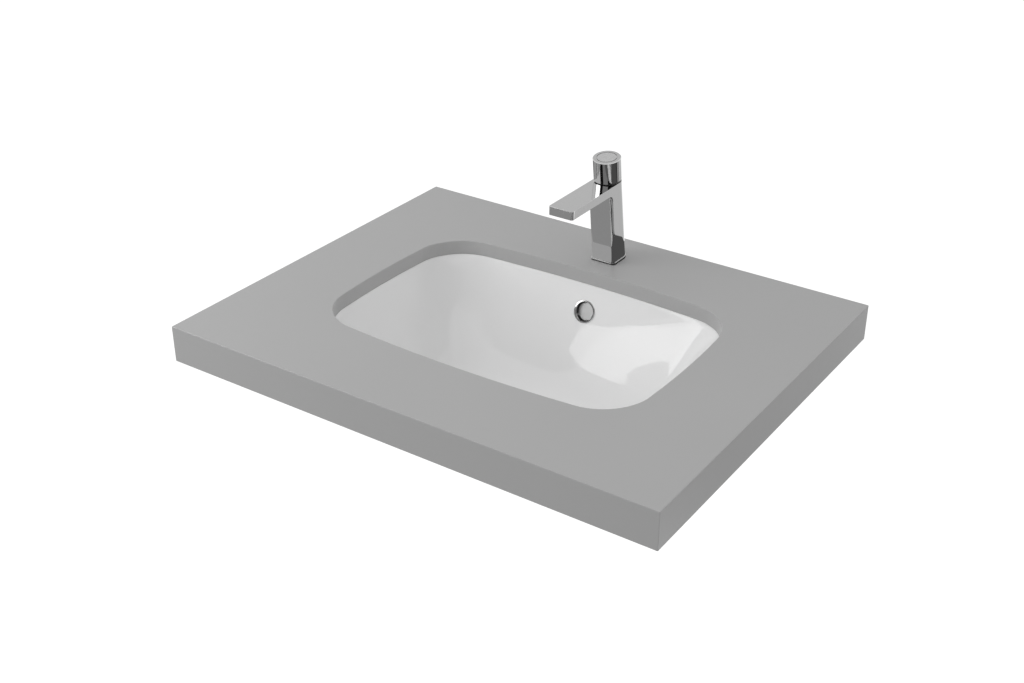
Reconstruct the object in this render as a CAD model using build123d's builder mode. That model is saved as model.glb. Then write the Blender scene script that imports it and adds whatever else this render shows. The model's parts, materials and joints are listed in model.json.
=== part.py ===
from build123d import *
from math import atan, atan2, cos, degrees, hypot, radians, sin, sqrt, tan
import os

# Undermount basin under a drop-edge worktop, with waste, overflow, clips and a single-knob mixer tap.
# The origin is the middle of the cut-out, in the plane of the worktop sheet's underside.
# +X runs right along the front edge, +Y runs back towards the wall and +Z is up.

os.makedirs("parts", exist_ok=True)

# Length by which a cutting tool runs past the face that it leaves
overrun = 2.0

# Worktop: its margins run from the middle of each side of the cut-out
side_margin = 117.5
front_and_back_margin = 119.0
sheet_thickness = 20.0
drop_edge_height = 50.0
strip_thickness = 20.0
worktop_edge_round = 1.2
cutout_edge_round = 1.0

# Cut-out: each side bows outwards from the straight line between its sharp corners
cutout_length = 465.0
cutout_width = 312.0
cutout_corner_radius = 69.0
long_side_bow = 13.0
short_side_bow = 8.5

# Threaded inserts for the brackets that carry the worktop, set in from its edges
bracket_side_inset = 50.0
bracket_end_inset = 75.0
bracket_insert_radius = 6.0
bracket_thread_radius = 3.4
bracket_insert_length = 13.0

# Basin: glazed bowl, rim flange and outlet boss
seal_thickness = 0.5
seal_inset = 3.0
seal_width = 20.0
bowl_depth = 140.0
ceramic_thickness = 11.0
flange_width = 28.0
flange_thickness = 12.0
outlet_boss_radius = 40.0
outlet_boss_height = 34.0
outlet_hole_radius = 22.5
outlet_recess_radius = 32.3
outlet_recess_depth = 4.0

# Glazed wall from rim to floor: depth as a share of the bowl's depth, and how far the wall has come in
# as a share of half the cut-out's width
bowl_wall_shares = (
    (0.0, 0.0),
    (0.10, 0.020),
    (0.264, 0.065),
    (0.50, 0.157),
    (0.70, 0.258),
    (0.85, 0.352),
    (0.94, 0.455),
    (0.98, 0.55),
    (1.0, 0.66),
)
# How far the end walls come in, as a share of how far the long walls do
end_wall_share = 1.16
# What the sides' bows have gained at the floor, as shares of the bows at the rim
long_bow_gain_share = 2.9
short_bow_gain_share = 4.6
# Corner radius of the floor's plan, as a share of the distance from its middle line to its corners
floor_corner_share = 0.7

# Overflow: hole at one station of the wall, and the channel cast behind the wall
stations_above_overflow_count = 2
overflow_hole_radius = 15.0
overflow_flange_radius = 16.0
overflow_flange_thickness = 1.4
overflow_flange_round = 0.5
overflow_bore_radius = 13.8
overflow_sleeve_clearance = 0.2
overflow_sleeve_length = 9.5
overflow_plate_gap = 1.6
overflow_plate_setback = 7.0
overflow_plate_thickness = 1.5
overflow_leg_width = 2.0
overflow_leg_count = 3
channel_width = 44.0
channel_depth = 12.0
channel_wall = 7.0

# Clips: stud, clip, washer and wing nut under the sheet, bearing on the rim flange
clip_end_inset = 102.5
clip_stud_gap = 7.0
clip_toe_overlap = 9.0
clip_heel_reach = 16.0
clip_width = 20.0
clip_thickness = 2.0
clip_stud_radius = 3.0
clip_stud_clearance = 0.4
clip_stud_tail = 17.0
clip_insert_radius = 4.5
clip_insert_length = 12.0
clip_washer_radius = 7.0
clip_washer_thickness = 1.2
wing_hub_radius = 5.5
wing_hub_height = 6.5
wing_span = 30.0
wing_height = 11.0
wing_thickness = 2.0
thread_clearance = 0.05

# Waste: flanged tube with overflow slots and a spider that carries the push-push unit
waste_flange_radius = 31.5
waste_flange_thickness = 2.5
waste_seat_radius = 25.0
waste_seat_depth = 1.5
waste_tube_radius = 20.95
waste_bore_radius = 18.5
waste_tube_length = 92.0
waste_tail_length = 40.0
waste_groove_height = 2.0
waste_groove_depth = 1.0
waste_slot_width = 12.0
waste_slot_height = 16.0
waste_slot_top_gap = 10.0
waste_slot_count = 4
spider_height = 6.0
spider_rib_width = 3.0
spider_hub_radius = 8.5
spider_drop = 32.0
upper_washer_thickness = 1.5
lower_washer_thickness = 3.0
lower_washer_radius = 31.0
backnut_radius = 33.0
backnut_height = 10.0
plug_head_radius = 23.5
plug_head_thickness = 3.4
plug_head_round = 1.2
plug_seal_section = 1.7
plug_seal_gap = 0.3
plug_seal_inset = 1.0
plug_seal_width = 2.5
plug_stem_radius = 4.0
plug_stem_clearance = 0.05
plug_travel = 8.0
click_radius = 6.5
click_collar_radius = 8.0
click_collar_height = 3.0
click_length = 30.0
click_floor = 2.0
spring_wire_radius = 0.4
spring_radius = 2.6
spring_pitch = 2.2
spring_end_gap = 0.1

# Tap: upright with a half-round back that leans forwards, and a flat level spout
tap_hole_radius = 17.5
tap_hole_setback = 55.2
tap_width = 36.4
tap_base_depth = 43.8
tap_top_depth = 41.0
tap_back_lean = 8.5
tap_front_round = 4.0
spout_top_height = 118.4
spout_thickness = 12.0
spout_reach = 131.7
spout_tip_round = 3.0
spout_throat_radius = 6.0
spout_edge_round = 0.6
base_plate_thickness = 2.0
base_plate_margin = 0.9
base_gasket_thickness = 0.8
base_gasket_inset = 0.1
base_opening_radius = 16.0

# Knob and cartridge, on an axis that leans forwards
knob_lean = 7.5
knob_back_margin = 0.4
knob_radius = 19.05
knob_height = 30.8
knob_rim_bevel = 0.7
knob_wall = 3.2
knob_roof = 8.0
knob_hub_radius = 7.5
knob_hub_lift = 5.0
knob_gap = 0.8
collar_radius = 17.6
collar_height = 2.8
cap_radius = 13.1
cap_thickness = 2.2
cap_groove = 0.9
cap_stem_radius = 3.0
cap_stem_length = 2.5
cartridge_radius = 12.5
cartridge_clearance = 0.1
cartridge_length = 29.0
cartridge_neck_radius = 8.5
cartridge_neck_height = 10.0
cartridge_port_radius = 2.6
cartridge_port_circle = 7.0
cartridge_port_depth = 6.0
cartridge_port_count = 3
cartridge_seal_thickness = 1.0
cartridge_nut_radius = 14.0
cartridge_nut_height = 7.0
spindle_radius = 4.0
spindle_clearance = 0.05
spindle_depth = 18.0
spindle_rise = 21.0
grub_radius = 1.5
grub_height = 11.0

# Waterways and fixings in and under the tap
inlet_radius = 4.5
inlet_depth = 12.0
inlet_spacing = 16.0
inlet_forward = 5.0
riser_radius = 3.2
waterway_radius = 3.0
waterway_wall = 1.4
spout_bore_radius = 4.0
aerator_radius = 9.2
aerator_clearance = 0.05
aerator_wall = 1.4
aerator_height = 8.5
aerator_setback = 16.0
aerator_insert_height = 5.0
aerator_hole_radius = 0.8
aerator_hole_pitch = 2.9
aerator_hole_count = 3
fixing_stud_radius = 3.0
fixing_stud_back = 9.5
fixing_stud_depth = 14.0
fixing_stud_tail = 30.0
fixing_washer_radius = 22.0
fixing_rubber_thickness = 3.0
fixing_steel_thickness = 2.0
fixing_slot_width = 28.0
fixing_slot_end = 2.5
fixing_nut_radius = 7.5
fixing_nut_height = 8.0

# Sizes that follow from the ones above
half_length = cutout_length / 2
half_width = cutout_width / 2
worktop_length = cutout_length + 2 * side_margin
worktop_depth = cutout_width + 2 * front_and_back_margin
bracket_spacing_x = worktop_length - 2 * bracket_side_inset
bracket_spacing_y = worktop_depth - 2 * bracket_end_inset
tap_hole_y = half_width + tap_hole_setback
rim_z = -seal_thickness
flange_bottom_z = rim_z - flange_thickness
floor_z = rim_z - bowl_depth
boss_bottom_z = floor_z - outlet_boss_height
strip_height = drop_edge_height - sheet_thickness
worktop_top_z = sheet_thickness


def corner_point(length, width, depth_share):
    """Corner of a bowed rectangle whose bows have gained with the depth under the rim."""
    long_bow = long_side_bow * (1 + long_bow_gain_share * depth_share)
    short_bow = short_side_bow * (1 + short_bow_gain_share * depth_share)
    return length / 2 - short_bow * width / cutout_width, width / 2 - long_bow * length / cutout_length


def bowed_rectangle(length, width, corner_radius, depth_share=0, mode=Mode.ADD):
    """Draw the cut-out's kind of outline: four sides bowed outwards between rounded corners."""
    corner_x, corner_y = corner_point(length, width, depth_share)
    with BuildLine() as outline:
        ThreePointArc((-corner_x, corner_y), (0, width / 2), (corner_x, corner_y))
        ThreePointArc((corner_x, corner_y), (length / 2, 0), (corner_x, -corner_y))
        ThreePointArc((corner_x, -corner_y), (0, -width / 2), (-corner_x, -corner_y))
        ThreePointArc((-corner_x, -corner_y), (-length / 2, 0), (-corner_x, corner_y))
        fillet(vertices(), corner_radius)
    make_face(outline.edges(), mode=mode)


def write(piece, name):
    """Label a finished piece and write its file."""
    piece.part.label = name
    export_step(piece.part, f"parts/{name}.step")


# Worktop sheet
with BuildPart() as worktop_sheet:
    with BuildSketch():
        Rectangle(worktop_length, worktop_depth)
    extrude(amount=sheet_thickness)
    fillet(edges().filter_by(Axis.Z), worktop_edge_round)
    fillet(edges().group_by(Axis.Z)[-1], worktop_edge_round)
    with BuildSketch(Plane.XY.offset(-overrun)):
        bowed_rectangle(cutout_length, cutout_width, cutout_corner_radius)
    extrude(amount=sheet_thickness + 2 * overrun, mode=Mode.SUBTRACT)
    fillet(edges(Select.LAST).group_by(Axis.Z)[-1], cutout_edge_round)
    with BuildSketch(Plane.XY.offset(-overrun)):
        with Locations((0, tap_hole_y)):
            Circle(tap_hole_radius)
    extrude(amount=sheet_thickness + 2 * overrun, mode=Mode.SUBTRACT)
    with BuildSketch():
        with GridLocations(bracket_spacing_x, bracket_spacing_y, 2, 2):
            Circle(bracket_insert_radius)
    extrude(amount=bracket_insert_length, mode=Mode.SUBTRACT)


def bow_drop(along, half_chord, bow):
    """How far a bowed side has fallen from its middle, at a distance along it."""
    radius = (half_chord**2 + bow**2) / (2 * bow)
    return radius - sqrt(radius**2 - along**2)


# Clip places: the stud's position and the direction out from the basin
flange_half_length = half_length + flange_width
flange_half_width = half_width + flange_width
flange_corner_x = flange_half_length - short_side_bow * flange_half_width / half_width
flange_long_bow = long_side_bow * flange_half_length / half_length
clip_x = half_length - clip_end_inset
side_drop = bow_drop(clip_x, flange_corner_x, flange_long_bow)
long_side_stud_y = flange_half_width - side_drop + clip_stud_gap
short_side_stud_x = flange_half_length + clip_stud_gap
clip_places = []
for side in (1, -1):
    clip_places.append(((side * short_side_stud_x, 0), (side, 0, 0)))
    for end in (1, -1):
        clip_places.append(((end * clip_x, side * long_side_stud_y), (0, side, 0)))
stud_points = [place for place, outward in clip_places]


def clip_plane(place, outward):
    """Upright plane through a stud: its x runs out from the basin and its y runs up."""
    across = Vector(*outward).cross(Vector(0, 0, 1))
    return Plane(origin=(*place, 0), x_dir=outward, z_dir=across)


with worktop_sheet:
    with BuildSketch():
        with Locations(*stud_points):
            Circle(clip_insert_radius)
    extrude(amount=clip_insert_length, mode=Mode.SUBTRACT)
write(worktop_sheet, "worktop_sheet")


# Drop-edge strips, glued under the sheet's rim
for name, side in (("front_edge_strip", -1), ("back_edge_strip", 1)):
    with BuildPart() as strip:
        with BuildSketch(Plane.XY.offset(-strip_height)):
            with Locations((0, side * (worktop_depth - strip_thickness) / 2)):
                Rectangle(worktop_length, strip_thickness)
        extrude(amount=strip_height)
        outer_corners = edges().filter_by(Axis.Z).group_by(Axis.Y)[0 if side < 0 else -1]
        fillet(outer_corners, worktop_edge_round)
        bottom_edges = edges().group_by(Axis.Z)[0].sort_by(Axis.Y, reverse=side > 0)
        fillet(bottom_edges[:-1], worktop_edge_round)
    write(strip, name)

for name, side in (("left_edge_strip", -1), ("right_edge_strip", 1)):
    with BuildPart() as strip:
        with BuildSketch(Plane.XY.offset(-strip_height)):
            with Locations((side * (worktop_length - strip_thickness) / 2, 0)):
                Rectangle(strip_thickness, worktop_depth - 2 * strip_thickness)
        extrude(amount=strip_height)
        bottom_edges = edges().filter_by(Axis.Y).group_by(Axis.Z)[0].sort_by(Axis.X, reverse=side > 0)
        fillet(bottom_edges[0], worktop_edge_round)
    write(strip, name)

# Bracket inserts, pressed into the sheet from below
with BuildPart() as bracket_inserts:
    with BuildSketch():
        with GridLocations(bracket_spacing_x, bracket_spacing_y, 2, 2):
            Circle(bracket_insert_radius)
            Circle(bracket_thread_radius, mode=Mode.SUBTRACT)
    extrude(amount=bracket_insert_length)
write(bracket_inserts, "bracket_inserts")


def wall_station(step):
    """Depth under the rim and inset of the glazed wall at one station."""
    depth_share, inset_share = bowl_wall_shares[step]
    return depth_share * bowl_depth, inset_share * half_width


def wall_slope(step):
    """Angle by which the wall leans in at a station, from the stations beside it, in degrees."""
    last = len(bowl_wall_shares) - 1
    if step == 0:
        return 0
    if step == last:
        return 90
    depth_before, inset_before = wall_station(step - 1)
    depth_after, inset_after = wall_station(step + 1)
    return degrees(atan2(inset_after - inset_before, depth_after - depth_before))


def behind_wall(step, distance):
    """Depth and inset of the point at a distance behind the glazed wall, square to it."""
    depth, inset = wall_station(step)
    slope = radians(wall_slope(step))
    return depth + distance * sin(slope), inset - distance * cos(slope)


def wall_plan(step):
    """Length, width and corner radius of the glazed wall's plan at a station."""
    depth_share, inset_share = bowl_wall_shares[step]
    inset = inset_share * half_width
    length = cutout_length - 2 * end_wall_share * inset
    width = cutout_width - 2 * inset
    rim_part = (1 - depth_share) ** 6
    floor_corner = floor_corner_share * corner_point(length, width, depth_share)[1]
    return length, width, cutout_corner_radius * rim_part + floor_corner * (1 - rim_part)


def bowl_loft(distance, mode):
    """Loft the bowl's form through every station, at a distance behind the glazed wall."""
    sections = []
    for step in range(len(bowl_wall_shares)):
        length, width, corner = wall_plan(step)
        depth, inset = behind_wall(step, distance)
        out = wall_station(step)[1] - inset
        with BuildSketch(Plane.XY.offset(rim_z - depth)) as section:
            bowed_rectangle(length + 2 * out, width + 2 * out, corner + out, bowl_wall_shares[step][0])
        sections.append(section.sketch)
    loft(sections, mode=mode)


def back_wall_point(step, distance):
    """Point behind the middle of the back wall, as y and z."""
    depth, inset = behind_wall(step, distance)
    return half_width - inset, rim_z - depth


# Overflow hole: its plane lies in the glazed wall and faces into the bowl
overflow_lean = radians(wall_slope(stations_above_overflow_count))
overflow_y, overflow_z = back_wall_point(stations_above_overflow_count, 0)
overflow_plane = Plane(
    origin=(0, overflow_y, overflow_z),
    x_dir=(1, 0, 0),
    z_dir=(0, -cos(overflow_lean), sin(overflow_lean)),
)

# Side views of the overflow channel and of the ceramic round it, down the back wall and under the floor
channel_steps = range(1, len(bowl_wall_shares))
channel_outer = ceramic_thickness + channel_depth
channel_front_line = [back_wall_point(step, ceramic_thickness) for step in channel_steps]
channel_back_line = [back_wall_point(step, channel_outer) for step in reversed(channel_steps)]
channel_end_z = channel_front_line[-1][1]
channel_outline = [
    *channel_front_line,
    (0, channel_end_z),
    (0, channel_end_z - channel_depth),
    *channel_back_line,
]
casing_front_line = [back_wall_point(step, ceramic_thickness / 2) for step in channel_steps]
casing_back_line = [back_wall_point(step, channel_outer + channel_wall) for step in reversed(channel_steps)]
casing_top_z = rim_z - flange_thickness / 2
casing_end_z = casing_front_line[-1][1]
casing_bottom_z = casing_back_line[0][1]
casing_outline = [
    (casing_front_line[0][0], casing_top_z),
    *casing_front_line,
    (0, casing_end_z),
    (0, casing_bottom_z),
    *casing_back_line,
    (casing_back_line[-1][0], casing_top_z),
]

# Basin
with BuildPart() as basin:
    bowl_loft(ceramic_thickness, Mode.ADD)
    with BuildSketch(Plane.XY.offset(flange_bottom_z)):
        bowed_rectangle(
            cutout_length + 2 * flange_width,
            cutout_width + 2 * flange_width,
            cutout_corner_radius + flange_width,
        )
    extrude(amount=flange_thickness)
    with BuildSketch(Plane.XY.offset(boss_bottom_z)):
        Circle(outlet_boss_radius)
    extrude(amount=outlet_boss_height - ceramic_thickness / 2)
    with BuildSketch(Plane.YZ):
        with BuildLine():
            Polyline(*casing_outline, close=True)
        make_face()
    extrude(amount=channel_width / 2 + channel_wall, both=True)
    bowl_loft(0, Mode.SUBTRACT)
    with BuildSketch(Plane.YZ):
        with BuildLine():
            Polyline(*channel_outline, close=True)
        make_face()
    extrude(amount=channel_width / 2, both=True, mode=Mode.SUBTRACT)
    with BuildSketch(overflow_plane):
        Circle(overflow_flange_radius + overflow_sleeve_clearance)
    extrude(amount=overrun, mode=Mode.SUBTRACT)
    with BuildSketch(overflow_plane):
        Circle(overflow_hole_radius)
    extrude(amount=-(ceramic_thickness + channel_depth / 2), mode=Mode.SUBTRACT)
    with BuildSketch(Plane.XY.offset(floor_z + overrun)):
        Circle(outlet_recess_radius)
    extrude(amount=-(overrun + outlet_recess_depth), mode=Mode.SUBTRACT)
    with BuildSketch(Plane.XY.offset(boss_bottom_z - overrun)):
        Circle(outlet_hole_radius)
    extrude(amount=outlet_boss_height + overrun, mode=Mode.SUBTRACT)
write(basin, "basin")

# Rim seal, a thin bed between the flange and the sheet
with BuildPart() as rim_seal:
    with BuildSketch(Plane.XY.offset(rim_z)):
        for margin, mode in ((seal_inset + seal_width, Mode.ADD), (seal_inset, Mode.SUBTRACT)):
            bowed_rectangle(
                cutout_length + 2 * margin,
                cutout_width + 2 * margin,
                cutout_corner_radius + margin,
                mode=mode,
            )
    extrude(amount=seal_thickness)
write(rim_seal, "rim_seal")

# Clip inserts in the sheet, and the studs that screw into them
with BuildPart() as clip_inserts:
    with BuildSketch():
        with Locations(*stud_points):
            Circle(clip_insert_radius)
            Circle(clip_stud_radius + thread_clearance, mode=Mode.SUBTRACT)
    extrude(amount=clip_insert_length)
write(clip_inserts, "clip_inserts")

clip_plate_bottom_z = flange_bottom_z - clip_thickness
clip_washer_bottom_z = clip_plate_bottom_z - clip_washer_thickness
wing_hub_bottom_z = clip_washer_bottom_z - wing_hub_height
stud_bottom_z = clip_plate_bottom_z - clip_stud_tail
with BuildPart() as clip_studs:
    with BuildSketch(Plane.XY.offset(stud_bottom_z)):
        with Locations(*stud_points):
            Circle(clip_stud_radius)
    extrude(amount=clip_insert_length - stud_bottom_z)
write(clip_studs, "clip_studs")

# Mounting clips: a flat toe under the flange and a heel turned up against the sheet
clip_toe = clip_stud_gap + clip_toe_overlap
with BuildPart() as mounting_clips:
    for place, outward in clip_places:
        with BuildSketch(clip_plane(place, outward)):
            with BuildLine():
                Polyline(
                    (-clip_toe, clip_plate_bottom_z),
                    (clip_heel_reach, clip_plate_bottom_z),
                    (clip_heel_reach, 0),
                    (clip_heel_reach - clip_thickness, 0),
                    (clip_heel_reach - clip_thickness, flange_bottom_z),
                    (-clip_toe, flange_bottom_z),
                    close=True,
                )
            make_face()
        extrude(amount=clip_width / 2, both=True)
    with BuildSketch(Plane.XY.offset(clip_plate_bottom_z - overrun)):
        with Locations(*stud_points):
            Circle(clip_stud_radius + clip_stud_clearance)
    extrude(amount=clip_thickness + 2 * overrun, mode=Mode.SUBTRACT)
write(mounting_clips, "mounting_clips")

with BuildPart() as clip_washers:
    with BuildSketch(Plane.XY.offset(clip_washer_bottom_z)):
        with Locations(*stud_points):
            Circle(clip_washer_radius)
            Circle(clip_stud_radius + clip_stud_clearance, mode=Mode.SUBTRACT)
    extrude(amount=clip_washer_thickness)
write(clip_washers, "clip_washers")

# Wing nuts: a round hub and two wings that sweep down and outwards
with BuildPart() as wing_nuts:
    with BuildSketch(Plane.XY.offset(wing_hub_bottom_z)):
        with Locations(*stud_points):
            Circle(wing_hub_radius)
    extrude(amount=wing_hub_height)
    for place, outward in clip_places:
        across = Vector(*outward).cross(Vector(0, 0, 1))
        with BuildSketch(clip_plane(place, (across.X, across.Y, 0))):
            for hand in (1, -1):
                with BuildLine():
                    Polyline(
                        (0, clip_washer_bottom_z - wing_thickness),
                        (0, wing_hub_bottom_z),
                        (hand * wing_hub_radius, wing_hub_bottom_z),
                        (hand * wing_span / 2, clip_washer_bottom_z - wing_height),
                        (hand * wing_span / 2, clip_washer_bottom_z - wing_thickness * 2),
                        (hand * wing_hub_radius, clip_washer_bottom_z - wing_thickness),
                        close=True,
                    )
                make_face()
        extrude(amount=wing_thickness / 2, both=True)
    with BuildSketch(Plane.XY.offset(clip_washer_bottom_z + overrun)):
        with Locations(*stud_points):
            Circle(clip_stud_radius + thread_clearance)
    extrude(amount=-(wing_height + 2 * overrun), mode=Mode.SUBTRACT)
write(wing_nuts, "wing_nuts")

# Overflow ring: polished flange on the glaze and a sleeve through the wall
with BuildPart() as overflow_ring:
    with BuildSketch(overflow_plane):
        Circle(overflow_flange_radius)
    extrude(amount=overflow_flange_thickness)
    flange_face = faces().sort_by(Axis(overflow_plane.origin, overflow_plane.z_dir))[-1]
    fillet(flange_face.edges(), overflow_flange_round)
    with BuildSketch(overflow_plane):
        Circle(overflow_hole_radius - overflow_sleeve_clearance)
    extrude(amount=-overflow_sleeve_length)
    with BuildSketch(overflow_plane.offset(overflow_flange_thickness + overrun)):
        Circle(overflow_bore_radius)
    extrude(amount=-(overflow_flange_thickness + overflow_sleeve_length + 2 * overrun), mode=Mode.SUBTRACT)
write(overflow_ring, "overflow_ring")

# Overflow plate: a disc set back in the sleeve on short legs
with BuildPart() as overflow_plate:
    with BuildSketch(overflow_plane.offset(overflow_flange_thickness - overflow_plate_setback)):
        Circle(overflow_bore_radius - overflow_plate_gap)
        with PolarLocations(overflow_bore_radius / 2, overflow_leg_count, start_angle=90):
            Rectangle(overflow_bore_radius + overflow_leg_width, overflow_leg_width)
        Circle(overflow_bore_radius, mode=Mode.INTERSECT)
    extrude(amount=-overflow_plate_thickness)
write(overflow_plate, "overflow_plate")

# Waste tube with its flange, overflow slots and spider
waste_top_z = floor_z
waste_flange_bottom_z = waste_top_z - waste_flange_thickness
waste_seat_z = waste_top_z - waste_seat_depth
waste_bottom_z = waste_top_z - waste_tube_length
waste_slot_top_z = waste_flange_bottom_z - waste_slot_top_gap
spider_top_z = waste_top_z - spider_drop
with BuildPart() as waste_body:
    with BuildSketch(Plane.XY.offset(waste_flange_bottom_z)):
        Circle(waste_flange_radius)
    extrude(amount=waste_flange_thickness)
    with BuildSketch(Plane.XY.offset(waste_bottom_z)):
        Circle(waste_tube_radius)
    extrude(amount=waste_tube_length)
    with BuildSketch(Plane.XY.offset(waste_seat_z)):
        Circle(waste_seat_radius)
    extrude(amount=waste_seat_depth + overrun, mode=Mode.SUBTRACT)
    with BuildSketch(Plane.XY.offset(waste_bottom_z - overrun)):
        Circle(waste_bore_radius)
    extrude(amount=waste_tube_length + 2 * overrun, mode=Mode.SUBTRACT)
    with BuildSketch(Plane.XY.offset(waste_slot_top_z)):
        with PolarLocations(waste_tube_radius, waste_slot_count):
            Rectangle(waste_tube_radius, waste_slot_width)
    extrude(amount=-waste_slot_height, mode=Mode.SUBTRACT)
    # Groove round the tube, above the tail that the trap's nut screws onto
    with BuildSketch(Plane.XY.offset(waste_bottom_z + waste_tail_length)):
        Circle(waste_tube_radius + overrun)
        Circle(waste_tube_radius - waste_groove_depth, mode=Mode.SUBTRACT)
    extrude(amount=waste_groove_height, mode=Mode.SUBTRACT)
    with BuildSketch(Plane.XY.offset(spider_top_z)):
        Circle(spider_hub_radius)
        Rectangle(2 * waste_tube_radius, spider_rib_width)
        Rectangle(spider_rib_width, 2 * waste_tube_radius)
        Circle((waste_bore_radius + waste_tube_radius) / 2, mode=Mode.INTERSECT)
        Circle(click_radius, mode=Mode.SUBTRACT)
    extrude(amount=-spider_height)
write(waste_body, "waste_body")

recess_floor_z = floor_z - outlet_recess_depth
with BuildPart() as waste_upper_washer:
    with BuildSketch(Plane.XY.offset(recess_floor_z)):
        Circle(waste_flange_radius)
        Circle(outlet_hole_radius, mode=Mode.SUBTRACT)
    extrude(amount=upper_washer_thickness)
write(waste_upper_washer, "waste_upper_washer")

with BuildPart() as waste_lower_washer:
    with BuildSketch(Plane.XY.offset(boss_bottom_z)):
        Circle(lower_washer_radius)
        Circle(waste_tube_radius + thread_clearance, mode=Mode.SUBTRACT)
    extrude(amount=-lower_washer_thickness)
write(waste_lower_washer, "waste_lower_washer")

backnut_top_z = boss_bottom_z - lower_washer_thickness
with BuildPart() as waste_backnut:
    with BuildSketch(Plane.XY.offset(backnut_top_z)):
        RegularPolygon(backnut_radius, 6)
        Circle(waste_tube_radius + thread_clearance, mode=Mode.SUBTRACT)
    extrude(amount=-backnut_height)
write(waste_backnut, "waste_backnut")

# Push-push unit: a cup screwed into the spider, with its spring and the plug's stem inside
click_top_z = spider_top_z + click_collar_height
click_bottom_z = click_top_z - click_length
click_floor_z = click_bottom_z + click_floor
with BuildPart() as click_cartridge:
    with BuildSketch(Plane.XY.offset(click_bottom_z)):
        Circle(click_radius)
    extrude(amount=click_length)
    with BuildSketch(Plane.XY.offset(spider_top_z)):
        Circle(click_collar_radius)
    extrude(amount=click_collar_height)
    with BuildSketch(Plane.XY.offset(click_floor_z)):
        Circle(plug_stem_radius + plug_stem_clearance)
    extrude(amount=click_length, mode=Mode.SUBTRACT)
write(click_cartridge, "click_cartridge")

# The stem ends above the spring by the plug's travel and a little more
stem_bottom_z = click_floor_z + plug_travel + 2 * spring_wire_radius + spring_end_gap
spring_height = stem_bottom_z - click_floor_z - 2 * (spring_wire_radius + spring_end_gap)
with BuildPart() as plug_spring:
    with BuildLine() as spring_line:
        Helix(
            spring_pitch,
            spring_height,
            spring_radius,
            center=(0, 0, click_floor_z + spring_wire_radius + spring_end_gap),
        )
    with BuildSketch(Plane(spring_line.line @ 0, z_dir=spring_line.line % 0)):
        Circle(spring_wire_radius)
    sweep(path=spring_line.line, is_frenet=True)
write(plug_spring, "plug_spring")

# Plug: head over the seat, and its ring underneath
plug_seal_bottom_z = waste_seat_z + plug_seal_gap
plug_head_bottom_z = plug_seal_bottom_z + plug_seal_section
with BuildPart() as waste_plug:
    with BuildSketch(Plane.XY.offset(plug_head_bottom_z)):
        Circle(plug_head_radius)
    extrude(amount=plug_head_thickness)
    fillet(edges().group_by(Axis.Z)[-1], plug_head_round)
    with BuildSketch(Plane.XY.offset(stem_bottom_z)):
        Circle(plug_stem_radius)
    extrude(amount=plug_head_bottom_z - stem_bottom_z)
write(waste_plug, "waste_plug")

with BuildPart() as plug_seal:
    with BuildSketch(Plane.XY.offset(plug_seal_bottom_z)):
        Circle(plug_head_radius - plug_seal_inset)
        Circle(plug_head_radius - plug_seal_inset - plug_seal_width, mode=Mode.SUBTRACT)
    extrude(amount=plug_seal_section)
write(plug_seal, "plug_seal")

# Places along the tap's height
gasket_bottom_z = worktop_top_z
plate_bottom_z = gasket_bottom_z + base_gasket_thickness
body_bottom_z = plate_bottom_z + base_plate_thickness
spout_top_z = worktop_top_z + spout_top_height
spout_bottom_z = spout_top_z - spout_thickness
column_height = spout_top_z - body_bottom_z
tap_back_y = tap_hole_y + tap_base_depth / 2
tap_top_back_y = tap_back_y - column_height * tan(radians(tap_back_lean))
tap_front_top_y = tap_top_back_y - tap_top_depth
tap_front_mid_y = (tap_back_y - tap_base_depth + tap_front_top_y) / 2
tap_mid_z = (body_bottom_z + spout_top_z) / 2
spout_tip_y = tap_hole_y - spout_reach


def upright_outline(depth, back_y, margin, front_round=0):
    """Draw the upright's plan: a flat front, flat sides and a half-round back, grown by a margin."""
    radius = tap_width / 2 + margin
    middle_y = back_y - tap_width / 2
    front_y = back_y - depth - margin
    with Locations((0, middle_y)):
        Circle(radius)
    with Locations((0, (middle_y + front_y) / 2)):
        Rectangle(2 * radius, middle_y - front_y)
    if front_round:
        fillet(vertices().group_by(Axis.Y)[0], front_round)


# Base gasket and plate
with BuildPart() as tap_base_gasket:
    with BuildSketch(Plane.XY.offset(gasket_bottom_z)):
        upright_outline(tap_base_depth, tap_back_y, base_plate_margin - base_gasket_inset, tap_front_round)
        with Locations((0, tap_hole_y)):
            Circle(base_opening_radius, mode=Mode.SUBTRACT)
    extrude(amount=base_gasket_thickness)
write(tap_base_gasket, "tap_base_gasket")

with BuildPart() as tap_base_plate:
    with BuildSketch(Plane.XY.offset(plate_bottom_z)):
        upright_outline(tap_base_depth, tap_back_y, base_plate_margin, tap_front_round)
        with Locations((0, tap_hole_y)):
            Circle(base_opening_radius, mode=Mode.SUBTRACT)
    extrude(amount=base_plate_thickness)
write(tap_base_plate, "tap_base_plate")

# Knob axis: it crosses the top of the upright and leans forwards
knob_y = tap_top_back_y - knob_radius - knob_back_margin
axis_direction = (0, -sin(radians(knob_lean)), cos(radians(knob_lean)))
knob_plane = Plane(origin=(0, knob_y, spout_top_z), x_dir=(1, 0, 0), z_dir=axis_direction)

# Cartridge chamber, measured down the axis from the top of the upright
nut_top = 0
nut_bottom = nut_top - cartridge_nut_height
cartridge_top = nut_bottom
cartridge_bottom = cartridge_top - cartridge_length
chamber_floor = cartridge_bottom - cartridge_seal_thickness
chamber_floor_z = spout_top_z + chamber_floor * cos(radians(knob_lean))
waterway_shift = cartridge_radius + cartridge_clearance + waterway_wall + waterway_radius
waterway_plane = knob_plane.shift_origin(knob_plane.from_local_coords((0, -waterway_shift, 0)))
waterway_port = chamber_floor + cartridge_seal_thickness + cartridge_port_radius
inlet_y = tap_hole_y - inlet_forward


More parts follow.
